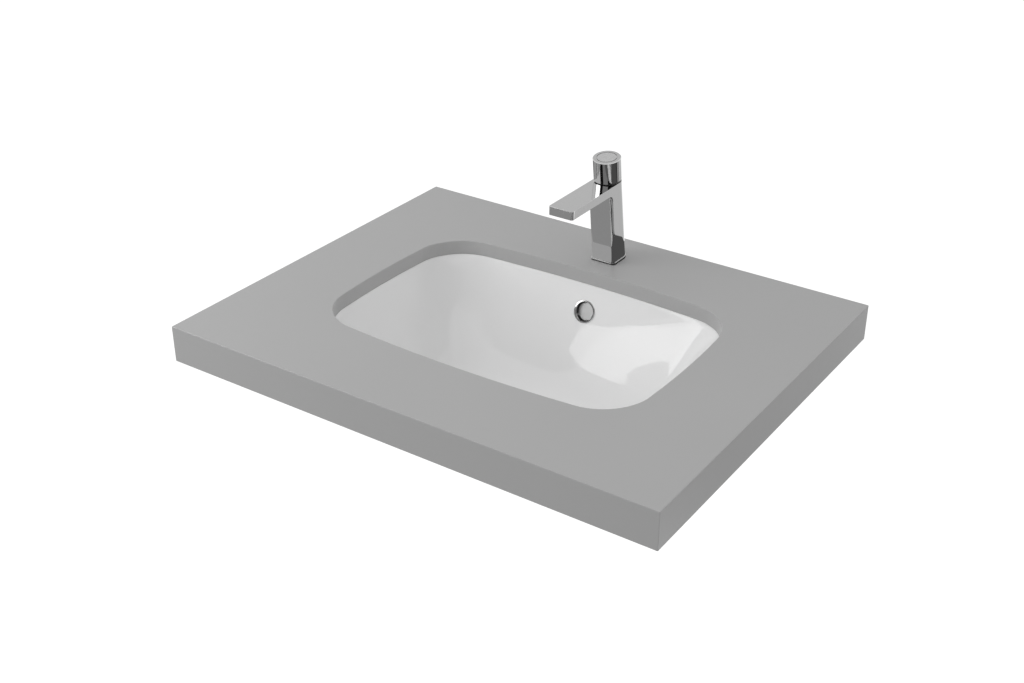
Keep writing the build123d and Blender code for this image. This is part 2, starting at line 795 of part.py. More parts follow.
def knob_cross_plane(across, along):
    """Plane square to the knob's radius, at a place across and along its axis, facing backwards."""
    origin = knob_plane.from_local_coords((0, across, along))
    return Plane(origin=origin, x_dir=(1, 0, 0), z_dir=knob_plane.y_dir)


inlet_points = [(-inlet_spacing / 2, inlet_y), (inlet_spacing / 2, inlet_y)]
fixing_stud_y = tap_hole_y + fixing_stud_back
aerator_y = spout_tip_y + aerator_setback
spout_bore_z = (spout_top_z + spout_bottom_z) / 2

# Tap body
with BuildPart() as tap_body:
    with BuildSketch(Plane.XY.offset(body_bottom_z)):
        upright_outline(tap_base_depth, tap_back_y, 0)
    with BuildSketch(Plane.XY.offset(spout_top_z)):
        upright_outline(tap_top_depth, tap_top_back_y, 0)
    loft(ruled=True)
    with BuildSketch(Plane.XY.offset(spout_bottom_z)):
        with Locations((0, (spout_tip_y + knob_y) / 2)):
            Rectangle(tap_width, knob_y - spout_tip_y)
        fillet(vertices().group_by(Axis.Y)[0], spout_tip_round)
    extrude(amount=spout_thickness)
    throat = edges().filter_by(Axis.X).sort_by_distance((0, tap_front_top_y, spout_bottom_z))[0]
    fillet(throat, spout_throat_radius)
    # One round runs up the upright's front edges and on under the spout
    front_edges = ShapeList()
    for side in (1, -1):
        front_edges += edges().sort_by_distance((side * tap_width / 2, tap_front_mid_y, tap_mid_z))[:1]
    fillet(front_edges, tap_front_round)
    fillet(edges().group_by(Axis.Z)[-1], spout_edge_round)
    # Cartridge chamber and the thread of its nut
    with BuildSketch(knob_plane.offset(chamber_floor)):
        Circle(cartridge_radius + cartridge_clearance)
    extrude(amount=-chamber_floor + knob_radius, mode=Mode.SUBTRACT)
    with BuildSketch(knob_plane.offset(nut_bottom)):
        Circle(cartridge_nut_radius)
    extrude(amount=cartridge_nut_height + knob_radius, mode=Mode.SUBTRACT)
    # Inlet threads and the risers from them to the chamber's floor
    with BuildSketch(Plane.XY.offset(body_bottom_z)):
        with Locations(*inlet_points):
            Circle(inlet_radius)
    extrude(amount=inlet_depth, mode=Mode.SUBTRACT)
    with BuildSketch(Plane.XY.offset(body_bottom_z + inlet_depth)):
        with Locations(*inlet_points):
            Circle(riser_radius)
    riser_length = (chamber_floor_z - body_bottom_z - inlet_depth) / cos(radians(knob_lean))
    extrude(amount=riser_length + riser_radius, dir=axis_direction, mode=Mode.SUBTRACT)
    # Waterway from the chamber up the front of the upright and along the spout
    with BuildSketch(waterway_plane.offset(waterway_port)):
        Circle(waterway_radius)
    waterway_length = (spout_bore_z - spout_top_z) / cos(radians(knob_lean)) - waterway_port
    extrude(amount=waterway_length, mode=Mode.SUBTRACT)
    with BuildSketch(knob_cross_plane(0, waterway_port)):
        Circle(cartridge_port_radius)
    extrude(amount=-waterway_shift, mode=Mode.SUBTRACT)
    waterway_top_y = knob_y - waterway_shift
    with BuildSketch(Plane(origin=(0, aerator_y, spout_bore_z), x_dir=(1, 0, 0), z_dir=(0, 1, 0))):
        Circle(spout_bore_radius)
    extrude(amount=waterway_top_y - aerator_y + waterway_radius / 2, mode=Mode.SUBTRACT)
    # Aerator thread and the hole for the fixing stud
    with BuildSketch(Plane.XY.offset(spout_bottom_z - overrun)):
        with Locations((0, aerator_y)):
            Circle(aerator_radius + aerator_clearance)
    extrude(amount=aerator_height + overrun, mode=Mode.SUBTRACT)
    with BuildSketch(Plane.XY.offset(body_bottom_z)):
        with Locations((0, fixing_stud_y)):
            Circle(fixing_stud_radius + thread_clearance)
    extrude(amount=fixing_stud_depth, mode=Mode.SUBTRACT)
write(tap_body, "tap_body")

# Cartridge: its floor seal, its body with the neck, its spindle and the nut that holds it
with BuildPart() as cartridge_seal:
    with BuildSketch(knob_plane.offset(chamber_floor)):
        Circle(cartridge_radius)
        with PolarLocations(cartridge_port_circle, cartridge_port_count, start_angle=90):
            Circle(cartridge_port_radius, mode=Mode.SUBTRACT)
    extrude(amount=cartridge_seal_thickness)
write(cartridge_seal, "cartridge_seal")

with BuildPart() as cartridge_body:
    with BuildSketch(knob_plane.offset(cartridge_bottom)):
        Circle(cartridge_radius)
    extrude(amount=cartridge_length)
    with BuildSketch(knob_plane.offset(cartridge_top)):
        Circle(cartridge_neck_radius)
    extrude(amount=cartridge_neck_height)
    with BuildSketch(knob_plane.offset(cartridge_bottom)):
        with PolarLocations(cartridge_port_circle, cartridge_port_count, start_angle=90):
            Circle(cartridge_port_radius)
    extrude(amount=cartridge_port_depth, mode=Mode.SUBTRACT)
    with BuildSketch(knob_plane.offset(cartridge_top - spindle_depth)):
        Circle(spindle_radius + spindle_clearance)
    extrude(amount=spindle_depth + cartridge_neck_height + overrun, mode=Mode.SUBTRACT)
write(cartridge_body, "cartridge_body")

with BuildPart() as cartridge_nut:
    with BuildSketch(knob_plane.offset(nut_bottom)):
        Circle(cartridge_nut_radius - thread_clearance)
        Circle(cartridge_neck_radius + cartridge_clearance, mode=Mode.SUBTRACT)
    extrude(amount=cartridge_nut_height)
write(cartridge_nut, "cartridge_nut")

spindle_bottom = cartridge_top - spindle_depth + plug_seal_gap
with BuildPart() as cartridge_spindle:
    with BuildSketch(knob_plane.offset(spindle_bottom)):
        Circle(spindle_radius)
    extrude(amount=spindle_rise - spindle_bottom)
write(cartridge_spindle, "cartridge_spindle")

# Collar: a fixed ring whose underside is cut level to sit on the upright
with BuildPart() as knob_collar:
    with BuildSketch(knob_plane.offset(collar_height)):
        Circle(collar_radius)
        Circle(cartridge_nut_radius, mode=Mode.SUBTRACT)
    extrude(amount=-collar_radius)
    split(bisect_by=Plane.XY.offset(spout_top_z), keep=Keep.TOP)
write(knob_collar, "knob_collar")

# Knob: a thick shell with a hub on the spindle and a recess for the cap
knob_bottom = collar_height + knob_gap
knob_top = knob_bottom + knob_height
knob_ceiling = knob_top - knob_roof
hub_bottom = knob_bottom + knob_hub_lift
knob_bore_radius = knob_radius - knob_wall
grub_level = knob_bottom + grub_height
with BuildPart() as knob:
    with BuildSketch(knob_plane.offset(knob_bottom)):
        Circle(knob_radius)
    extrude(amount=knob_height)
    rim = edges().sort_by(Axis(knob_plane.origin, knob_plane.z_dir))[-1]
    chamfer(rim, knob_rim_bevel)
    with BuildSketch(knob_plane.offset(knob_bottom - overrun)):
        Circle(knob_bore_radius)
    extrude(amount=knob_ceiling - knob_bottom + overrun, mode=Mode.SUBTRACT)
    with BuildSketch(knob_plane.offset(hub_bottom)):
        Circle(knob_hub_radius)
    extrude(amount=knob_ceiling - hub_bottom)
    with BuildSketch(knob_plane.offset(hub_bottom - overrun)):
        Circle(spindle_radius + spindle_clearance)
    extrude(amount=spindle_rise - hub_bottom + overrun, mode=Mode.SUBTRACT)
    with BuildSketch(knob_plane.offset(knob_top + overrun)):
        Circle(cap_radius + cap_groove)
    extrude(amount=-(overrun + cap_thickness), mode=Mode.SUBTRACT)
    with BuildSketch(knob_plane.offset(knob_top - cap_thickness)):
        Circle(cap_stem_radius)
    extrude(amount=-cap_stem_length, mode=Mode.SUBTRACT)
    with BuildSketch(knob_cross_plane(0, grub_level)):
        Circle(grub_radius)
    extrude(amount=knob_radius + overrun, mode=Mode.SUBTRACT)
write(knob, "knob")

with BuildPart() as knob_screw:
    with BuildSketch(knob_cross_plane(spindle_radius + spindle_clearance, grub_level)):
        Circle(grub_radius)
    extrude(amount=knob_hub_radius - spindle_radius)
write(knob_screw, "knob_screw")

with BuildPart() as knob_cap:
    with BuildSketch(knob_plane.offset(knob_top - cap_thickness)):
        Circle(cap_radius)
    extrude(amount=cap_thickness)
    with BuildSketch(knob_plane.offset(knob_top - cap_thickness)):
        Circle(cap_stem_radius)
    extrude(amount=-cap_stem_length)
write(knob_cap, "knob_cap")

# Aerator: a threaded ring flush with the spout's underside, and its perforated insert
with BuildPart() as aerator_housing:
    with BuildSketch(Plane.XY.offset(spout_bottom_z)):
        with Locations((0, aerator_y)):
            Circle(aerator_radius)
            Circle(aerator_radius - aerator_wall, mode=Mode.SUBTRACT)
    extrude(amount=aerator_height)
write(aerator_housing, "aerator_housing")

with BuildPart() as aerator_insert:
    with BuildSketch(Plane.XY.offset(spout_bottom_z + aerator_wall)):
        with Locations((0, aerator_y)):
            Circle(aerator_radius - aerator_wall)
            with HexLocations(aerator_hole_pitch / 2, aerator_hole_count, aerator_hole_count):
                Circle(aerator_hole_radius, mode=Mode.SUBTRACT)
    extrude(amount=aerator_insert_height)
write(aerator_insert, "aerator_insert")

# Tap fixings under the sheet: stud, horseshoe washers and nut
with BuildPart() as tap_fixing_stud:
    with BuildSketch(Plane.XY.offset(-fixing_stud_tail)):
        with Locations((0, fixing_stud_y)):
            Circle(fixing_stud_radius)
    extrude(amount=fixing_stud_tail + body_bottom_z + fixing_stud_depth)
write(tap_fixing_stud, "tap_fixing_stud")


def horseshoe(thickness, top_z, name):
    """Make a round washer under the tap hole, open towards the front for the hoses."""
    with BuildPart() as washer:
        with BuildSketch(Plane.XY.offset(top_z)):
            with Locations((0, tap_hole_y)):
                Circle(fixing_washer_radius)
            with Locations((0, tap_hole_y + fixing_slot_end - fixing_washer_radius)):
                Rectangle(fixing_slot_width, 2 * fixing_washer_radius, mode=Mode.SUBTRACT)
            with Locations((0, fixing_stud_y)):
                Circle(fixing_stud_radius + thread_clearance, mode=Mode.SUBTRACT)
        extrude(amount=-thickness)
    write(washer, name)


horseshoe(fixing_rubber_thickness, 0, "tap_rubber_washer")
horseshoe(fixing_steel_thickness, -fixing_rubber_thickness, "tap_steel_washer")

with BuildPart() as tap_fixing_nut:
    with BuildSketch(Plane.XY.offset(-fixing_rubber_thickness - fixing_steel_thickness)):
        with Locations((0, fixing_stud_y)):
            RegularPolygon(fixing_nut_radius, 6)
            Circle(fixing_stud_radius + thread_clearance, mode=Mode.SUBTRACT)
    extrude(amount=-fixing_nut_height)
write(tap_fixing_nut, "tap_fixing_nut")
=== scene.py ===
import json
from math import atan2, cos, hypot, pi, radians, sin, sqrt, tan

import bmesh
import bpy
import numpy as np
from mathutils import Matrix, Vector


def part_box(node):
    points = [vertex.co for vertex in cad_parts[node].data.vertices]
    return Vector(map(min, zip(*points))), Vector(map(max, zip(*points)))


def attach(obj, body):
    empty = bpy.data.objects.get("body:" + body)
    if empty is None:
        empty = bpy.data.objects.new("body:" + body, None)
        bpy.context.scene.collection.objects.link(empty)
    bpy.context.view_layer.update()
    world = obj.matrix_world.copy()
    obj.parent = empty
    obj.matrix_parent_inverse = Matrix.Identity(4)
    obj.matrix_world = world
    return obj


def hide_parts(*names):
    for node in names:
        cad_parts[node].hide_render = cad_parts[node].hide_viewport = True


# Undermount basin under a drop-edge worktop, with its waste, overflow, clips and tap
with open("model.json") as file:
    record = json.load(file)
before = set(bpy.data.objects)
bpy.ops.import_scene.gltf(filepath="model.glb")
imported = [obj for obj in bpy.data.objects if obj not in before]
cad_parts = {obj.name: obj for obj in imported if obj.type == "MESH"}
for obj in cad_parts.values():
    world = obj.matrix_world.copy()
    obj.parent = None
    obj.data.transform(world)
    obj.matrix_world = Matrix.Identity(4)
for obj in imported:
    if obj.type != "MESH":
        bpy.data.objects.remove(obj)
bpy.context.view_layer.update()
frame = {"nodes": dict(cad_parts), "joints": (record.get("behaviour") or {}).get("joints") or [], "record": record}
nodes = frame["nodes"]
up = Vector((0, 0, 1))
worktop_z = 0.020

# Camera, at the angle of the photograph, with its lens in pixels and its sensor in millimetres
camera_turn, camera_rise = radians(34.4237), radians(28.944)
camera_distance, camera_left, camera_down = 1.8032, 0.01659, 0.03297
focal_pixels, picture_pixels, sensor_width = 1416.84, 1024, 36
nearest, farthest = 0.05, 60


def add_object(name, data):
    """New object at the origin, in the scene."""
    made = bpy.data.objects.new(name, data)
    bpy.context.scene.collection.objects.link(made)
    return made


def place_camera():
    level = cos(camera_rise)
    back = Vector((sin(camera_turn) * level, -cos(camera_turn) * level, sin(camera_rise)))
    right = Vector((cos(camera_turn), sin(camera_turn), 0))
    above = back.cross(right)
    data = bpy.data.cameras.new("camera")
    data.sensor_width = sensor_width
    data.lens = sensor_width * focal_pixels / picture_pixels
    data.clip_start, data.clip_end = nearest, farthest
    camera = add_object("camera", data)
    place = back * camera_distance - right * camera_left - above * camera_down
    camera.location = place + up * worktop_z
    camera.rotation_mode = "QUATERNION"
    camera.rotation_quaternion = (-back).to_track_quat("-Z", "Y")
    bpy.context.scene.camera = camera


place_camera()


# Shader values that Python's operators work on
class Value:
    def __init__(self, finish, socket):
        self.finish = finish
        self.socket = socket

    def math(self, operation, *others):
        return self.finish.node("Math", {"operation": operation}, dict(enumerate((self, *others))))

    def __add__(self, other):
        return self.math("ADD", other)

    def __mul__(self, other):
        return self.math("MULTIPLY", other)

    def __rsub__(self, other):
        return self.finish.node("Math", {"operation": "SUBTRACT"}, {0: other, 1: self})

    __radd__ = __add__
    __rmul__ = __mul__

    def between(self, low, high):
        """0 below low, 1 above high and smooth in between."""
        return self.finish.node(
            "MapRange",
            {"interpolation_type": "SMOOTHSTEP"},
            {"Value": self, "From Min": low, "From Max": high},
        )


class Finish:
    """A material, or the world's, that is built from nodes."""

    def __init__(self, name, world=False):
        kind = bpy.data.worlds if world else bpy.data.materials
        self.material = kind.new(name)
        self.material.use_nodes = True
        self.tree = self.material.node_tree
        self.tree.nodes.clear()

    def node(self, kind, settings=None, inputs=None, out=0):
        made = self.tree.nodes.new("ShaderNode" + kind)
        for name, value in (settings or {}).items():
            setattr(made, name, value)
        for name, value in (inputs or {}).items():
            if isinstance(value, Value):
                self.tree.links.new(value.socket, made.inputs[name])
            else:
                made.inputs[name].default_value = value
        return Value(self, made.outputs[out]) if made.outputs else None

    def place(self, centre=(0, 0, 0), turn=(0, 0, 0), scale=(1, 1, 1)):
        """Object coordinates, measured from a centre and turned."""
        where = self.node("TexCoord", out="Object")
        moved = self.node("VectorMath", {"operation": "SUBTRACT"}, {0: where, 1: centre})
        return self.node("Mapping", {}, {"Vector": moved, "Rotation": turn, "Scale": scale})

    def noise(self, scale, detail, roughness, at=None):
        at = at or self.node("TexCoord", out="Object")
        inputs = {"Vector": at, "Scale": scale, "Detail": detail, "Roughness": roughness}
        return self.node("TexNoise", {}, inputs)

    def tint(self, amount, low, high):
        """A colour that runs from low to high as amount goes from 0 to 1."""
        inputs = {"Factor": amount, 6: (*low, 1), 7: (*high, 1)}
        return self.node("Mix", {"data_type": "RGBA"}, inputs, out=2)

    def bump(self, height, distance, strength, under=None):
        inputs = {"Height": height, "Distance": distance, "Strength": strength}
        if under:
            inputs["Normal"] = under
        return self.node("Bump", {}, inputs)

    def surface(self, **sockets):
        inputs = {name.replace("_", " ").title(): value for name, value in sockets.items()}
        if "Ior" in inputs:
            inputs["IOR"] = inputs.pop("Ior")
        shader = self.node("BsdfPrincipled", {}, inputs)
        self.node("OutputMaterial", {}, {"Surface": shader})
        return self.material

    def one_sided(self, shader):
        """A sheet that shows only on the side that it faces."""
        front = 1 - self.node("NewGeometry", out="Backfacing")
        clear = self.node("BsdfTransparent")
        seen = self.node("MixShader", {}, {0: front, 1: clear, 2: shader})
        self.node("OutputMaterial", {}, {"Surface": seen})
        return self.material


def grey(value):
    return (value, value, value)


# Finishes
def mineral_slab():
    """Cast mineral composite, rubbed to a soft sheen, with faint clouding and a fine grain."""
    finish = Finish("mineral_slab")
    clouds = finish.noise(5, detail=4, roughness=0.55)
    grain = finish.noise(900, detail=2, roughness=0.6)
    rubbed = finish.noise(60, detail=3, roughness=0.6)
    tone = clouds * 0.6 + grain * 0.4
    return finish.surface(
        base_color=finish.tint(tone, grey(0.419), grey(0.449)),
        roughness=0.25 + rubbed * 0.08 + clouds * 0.05,
        ior=1.45,
        normal=finish.bump(grain, distance=0.00004, strength=0.6),
    )


def white_glaze():
    """Vitreous china under a thick clear glaze: a slight orange peel and slow waves."""
    finish = Finish("white_glaze")
    waves = finish.noise(9, detail=2, roughness=0.5)
    peel = finish.noise(140, detail=2, roughness=0.5)
    specks = finish.noise(420, detail=1, roughness=0.5)
    slow = finish.bump(waves, distance=0.0012, strength=0.25)
    return finish.surface(
        base_color=finish.tint(waves * 0.8 + specks * 0.2, grey(0.865), grey(0.895)),
        roughness=0.03 + peel * 0.03,
        ior=1.5,
        normal=finish.bump(peel, distance=0.00006, strength=0.35, under=slow),
    )


def polished_chrome():
    """Bright plating with faint wipe marks and water bloom."""
    finish = Finish("polished_chrome")
    wipes = finish.noise(30, detail=4, roughness=0.6, at=finish.place(scale=(1, 1, 0.25)))
    bloom = finish.noise(220, detail=3, roughness=0.6)
    return finish.surface(
        base_color=finish.tint(bloom, grey(0.61), grey(0.64)),
        metallic=1.0,
        roughness=0.035 + wipes.between(0.45, 0.75) * 0.045 + bloom * 0.01,
        normal=finish.bump(bloom, distance=0.000004, strength=0.3),
    )


def turned_disc(centre, turn):
    """Satin plating, turned in fine rings about the knob's axis."""
    finish = Finish("turned_disc")
    at = finish.place(centre, turn)
    rings = finish.node(
        "TexWave",
        {"wave_type": "RINGS", "rings_direction": "Z"},
        {"Vector": at, "Scale": 900.0, "Distortion": 0.6, "Detail": 2.0},
    )
    bloom = finish.noise(120, detail=3, roughness=0.6)
    return finish.surface(
        base_color=finish.tint(bloom, grey(0.60), grey(0.66)),
        metallic=1.0,
        roughness=0.20 + bloom * 0.06 + rings * 0.05,
        normal=finish.bump(rings, distance=0.00001, strength=0.5),
    )


def satin_chrome():
    """Satin plating, rubbed fine all over."""
    finish = Finish("satin_chrome")
    rubbed = finish.noise(700, detail=3, roughness=0.6)
    bloom = finish.noise(120, detail=3, roughness=0.6)
    return finish.surface(
        base_color=finish.tint(bloom, grey(0.56), grey(0.62)),
        metallic=1.0,
        roughness=0.36 + rubbed * 0.10,
        normal=finish.bump(rubbed, distance=0.000006, strength=0.5),
    )


def zinc_steel():
    """Zinc-plated steel, dull and slightly streaked."""
    finish = Finish("zinc_steel")
    patches = finish.noise(120, detail=4, roughness=0.6)
    streaks = finish.noise(60, detail=4, roughness=0.65, at=finish.place(scale=(1, 1, 0.15)))
    return finish.surface(
        base_color=finish.tint(patches, grey(0.50), grey(0.66)),
        metallic=1.0,
        roughness=0.30 + streaks * 0.18,
        normal=finish.bump(patches, distance=0.00002, strength=0.5),
    )


def insert_brass():
    """Machined brass, browned unevenly."""
    finish = Finish("insert_brass")
    browning = finish.noise(160, detail=4, roughness=0.6)
    return finish.surface(
        base_color=finish.tint(browning, (0.62, 0.47, 0.22), (0.78, 0.62, 0.32)),
        metallic=1.0,
        roughness=0.28 + browning * 0.15,
        normal=finish.bump(browning, distance=0.00002, strength=0.5),
    )


def moulded(name, dark, light, dull, grain_size):
    """Moulded rubber, silicone or plastic with a fine grain and slight dusting."""
    finish = Finish(name)
    grain = finish.noise(grain_size, detail=3, roughness=0.6)
    dust = finish.noise(35, detail=3, roughness=0.55)
    return finish.surface(
        base_color=finish.tint(dust * 0.6 + grain * 0.4, grey(dark), grey(light)),
        roughness=dull + dust * 0.12,
        normal=finish.bump(grain, distance=0.00004, strength=0.5),
    )


knob_lean = radians(7.5)
knob_axis = Vector((0, -sin(knob_lean), cos(knob_lean)))
knob_joint = next(joint for joint in frame["joints"] if joint["name"] == "knob_turn")
knob_foot = Vector(knob_joint["pos_m"])

finishes = {
    "mineral_slab": mineral_slab(),
    "white_glaze": white_glaze(),
    "polished_chrome": polished_chrome(),
    "brushed_chrome": turned_disc(knob_foot, (-knob_lean, 0, 0)),
    "satin_chrome": satin_chrome(),
    "zinc_steel": zinc_steel(),
    "insert_brass": insert_brass(),
    "pale_silicone": moulded("pale_silicone", dark=0.62, light=0.70, dull=0.35, grain_size=300),
    "black_rubber": moulded("black_rubber", dark=0.020, light=0.035, dull=0.65, grain_size=500),
    "dark_plastic": moulded("dark_plastic", dark=0.025, light=0.045, dull=0.38, grain_size=700),
    "pale_plastic": moulded("pale_plastic", dark=0.58, light=0.66, dull=0.32, grain_size=700),
}
slot_of_node = {part["node"]: part["material_slot"] for part in frame["record"]["subparts"]}
for node_name, node in nodes.items():
    for slot in node.material_slots:
        slot.material = finishes[slot_of_node[node_name]]


# Meshes
sharp_edge_angle, flat_face_pull, same_place = radians(32), 80, 1e-7


def dress(piece, body, node_name):
    """Finish a piece and put it in a node's place, on a body."""
    mesh = piece.data
    mesh.materials.clear()
    mesh.materials.append(finishes[slot_of_node[node_name]])
    mesh.shade_smooth()
    mesh.set_sharp_from_angle(angle=sharp_edge_angle)
    weighted = piece.modifiers.new("even_shading", "WEIGHTED_NORMAL")
    weighted.keep_sharp = True
    weighted.weight = flat_face_pull
    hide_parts(node_name)
    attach(piece, body)


def join_rings(rings, closed=False):
    """Vertices and faces of a skin over rings of the same count; an open one gets end caps."""
    count = len(rings[0])
    vertices = [point for ring in rings for point in ring]
    faces = []
    spans = len(rings) if closed else len(rings) - 1
    for r in range(spans):
        a, b = r * count, ((r + 1) % len(rings)) * count
        for i in range(count):
            j = (i + 1) % count
            faces.append((a + i, a + j, b + j, b + i))
    if not closed:
        faces.append(tuple(range(count)))
        faces.append(tuple(reversed(range((len(rings) - 1) * count, len(rings) * count))))
    return vertices, faces


def turn_outwards(mesh, merge=False):
    """Make a mesh's faces point outwards, once its doubles are merged where asked."""
    work = bmesh.new()
    work.from_mesh(mesh)
    if merge:
        bmesh.ops.remove_doubles(work, verts=work.verts, dist=same_place)
    bmesh.ops.recalc_face_normals(work, faces=work.faces)
    work.to_mesh(mesh)
    work.free()


def solid_object(name, vertices, faces):
    """New object from vertices and faces, merged and facing outwards."""
    mesh = bpy.data.meshes.new(name)
    mesh.from_pydata([tuple(v) for v in vertices], [], faces)
    turn_outwards(mesh, merge=True)
    return add_object(name, mesh)


def round_cutter(name, foot, axis, radius, length):
    """Closed cylinder from foot along axis, to cut with."""
    sides = 64
    turn = axis.to_track_quat("Z", "Y").to_matrix()
    rings = []
    for height in (0, length):
        ring = []
        for i in range(sides):
            angle = 2 * pi * i / sides
            ring.append(foot + turn @ Vector((radius * cos(angle), radius * sin(angle), height)))
        rings.append(ring)
    return solid_object(name, *join_rings(rings))


def cut(target, cutters):
    """Cut closed shapes out of an object and throw them away."""
    for cutter in cutters:
        step = target.modifiers.new("cut", "BOOLEAN")
        step.object = cutter
        step.solver = "EXACT"
    graph = bpy.context.evaluated_depsgraph_get()
    mesh = bpy.data.meshes.new_from_object(target.evaluated_get(graph))
    target.modifiers.clear()
    target.data = mesh
    for cutter in cutters:
        bpy.data.objects.remove(cutter)


def joined_piece(name, shells, node_name):
    """One piece from several closed shells."""
    both = bmesh.new()
    for shell in shells:
        both.from_mesh(shell.data)
        bpy.data.objects.remove(shell)
    mesh = bpy.data.meshes.new(name)
    both.to_mesh(mesh)
    both.free()
    dress(add_object(name, mesh), "fixed_parts", node_name)


def arc(centre, radius, first, last, steps, whole=False):
    """Points round part of a circle; only a whole arc has its last point."""
    points = []
    for i in range(steps + 1 if whole else steps):
        angle = first + (last - first) * i / steps
        points.append((centre[0] + radius * cos(angle), centre[1] + radius * sin(angle)))
    return points


def level_ring(plan, z):
    return np.column_stack((plan, np.full(len(plan), z)))


# Basin
cutout_half = np.array((0.2325, 0.156))
cutout_corner = 0.069
long_side_bow, short_side_bow = 0.013, 0.0085
rim_z, bowl_depth, china = -0.0005, 0.140, 0.011
flange_width, flange_root, flange_thick, flange_clear = 0.028, 0.010, 0.012, 0.0005
outlet_radius, outlet_recess, recess_depth = 0.0225, 0.0323, 0.004
boss_radius, boss_length = 0.040, 0.034

# Roundings: how far each ring lies aside of an edge, and how far up or down
rim_rounding = ((0.0008, 0), (0.0002, 0.0003))
flange_rounding = ((0.0015, 0), (0.0004, 0.0005), (0, 0.0015))
recess_rounding = ((0.0012, 0), (0.0003, 0.0004), (0, 0.001))
boss_rounding = ((0.001, 0), (0.0003, 0.0003), (0, 0.001))
boss_fillet = ((0, 0.004), (0.0012, 0.0012), (0.004, 0))

# The long wall from rim to floor: shares of the depth, and of the cut-out's half width
wall_shares = (
    (0.0, 0.0),
    (0.10, 0.020),
    (0.264, 0.065),
    (0.50, 0.157),
    (0.70, 0.258),
    (0.85, 0.352),
    (0.94, 0.455),
    (0.98, 0.55),
    (1.0, 0.66),
)
wall_start, wall_end, wall_steps = (0.98, 0.19), (0, 1), 60
end_wall_share, long_bow_growth, short_bow_growth = 1.16, 2.9, 4.6
floor_corner_share, corner_fade, floor_steps = 0.7, 6, 6


def bows_at(half_x, half_y, depth_share):
    """Bows of the long and the short sides, which grow towards the floor."""
    long_bow = long_side_bow * half_x / cutout_half[0] * (1 + long_bow_growth * depth_share)
    short_bow = short_side_bow * half_y / cutout_half[1] * (1 + short_bow_growth * depth_share)
    return long_bow, short_bow


def corner_centre(long_centre, short_centre, long_reach, short_reach):
    """Where the corner's circle lies, at a given reach from the centres of both sides' circles."""
    apart = short_centre - long_centre
    gap = np.linalg.norm(apart)
    along = (long_reach * long_reach - short_reach * short_reach + gap * gap) / (2 * gap)
    across = sqrt(max(long_reach * long_reach - along * along, 0))
    unit = apart / gap
    side = np.array((-unit[1], unit[0]))
    options = [long_centre + unit * along + side * across * s for s in (1, -1)]
    return max(options, key=lambda p: p[0] + p[1])


def bowed_outline(half_x, half_y, corner, depth_share=0.0):
    """Points round the cut-out's kind of outline: bowed sides and tangent round corners."""
    end_steps, corner_steps, side_steps = 10, 14, 14
    long_bow, short_bow = bows_at(half_x, half_y, depth_share)
    corner_x, corner_y = half_x - short_bow, half_y - long_bow
    long_radius = (corner_x**2 + long_bow**2) / (2 * long_bow)
    short_radius = (corner_y**2 + short_bow**2) / (2 * short_bow)
    long_centre = np.array((0, half_y - long_radius))
    short_centre = np.array((half_x - short_radius, 0))
    centre = corner_centre(long_centre, short_centre, long_radius - corner, short_radius - corner)
    to_long, to_short = centre - long_centre, centre - short_centre
    long_end = atan2(to_long[1], to_long[0])
    short_end = atan2(to_short[1], to_short[0])
    quarter = arc(short_centre, short_radius, 0, short_end, end_steps)
    quarter += arc(centre, corner, short_end, long_end, corner_steps)
    quarter += arc(long_centre, long_radius, long_end, pi / 2, side_steps, whole=True)
    quarter = np.array(quarter)
    second = quarter[-2::-1] * (-1, 1)
    half = np.vstack((quarter, second))
    return np.vstack((half, -half[1:-1]))


def spline_slopes(points, steps, start, end):
    """Slopes at the points of a cubic spline that leaves and arrives in given directions."""
    count = len(points)
    system = np.zeros((count, count))
    known = np.zeros((count, 2))
    system[0, 0], known[0] = 1, start
    system[-1, -1], known[-1] = 1, end
    for i in range(1, count - 1):
        before, after = steps[i - 1], steps[i]
        system[i, i - 1], system[i, i], system[i, i + 1] = after, 2 * (before + after), before
        rise_before = (points[i] - points[i - 1]) / before
        rise_after = (points[i + 1] - points[i]) / after
        known[i] = 3 * (after * rise_before + before * rise_after)
    return np.linalg.solve(system, known)


def smooth_line(points, start, end, samples):
    """Places along a cubic spline through points, and its directions there."""
    points = np.array(points, float)
    steps = np.hypot(*np.diff(points, axis=0).T)
    at = np.concatenate(((0,), np.cumsum(steps)))
    slopes = spline_slopes(points, steps, start, end)
    places, tangents = [], []
    for s in np.linspace(0, at[-1], samples):
        i = min(int(np.searchsorted(at, s, side="right")) - 1, len(steps) - 1)
        t = (s - at[i]) / steps[i]
        held = (points[i], slopes[i] * steps[i], points[i + 1], slopes[i + 1] * steps[i])
        shares = (2 * t**3 - 3 * t**2 + 1, t**3 - 2 * t**2 + t, -2 * t**3 + 3 * t**2, t**3 - t**2)
        changes = (6 * t**2 - 6 * t, 3 * t**2 - 4 * t + 1, -6 * t**2 + 6 * t, 3 * t**2 - 2 * t)
        places.append(sum(share * value for share, value in zip(shares, held)))
        tangent = sum(change * value for change, value in zip(changes, held))
        tangents.append(tangent / np.linalg.norm(tangent))
    return np.array(places), np.array(tangents)


wall_points = [(share * bowl_depth, inset * cutout_half[1]) for share, inset in wall_shares]
wall_line, wall_tangents = smooth_line(wall_points, wall_start, wall_end, wall_steps)


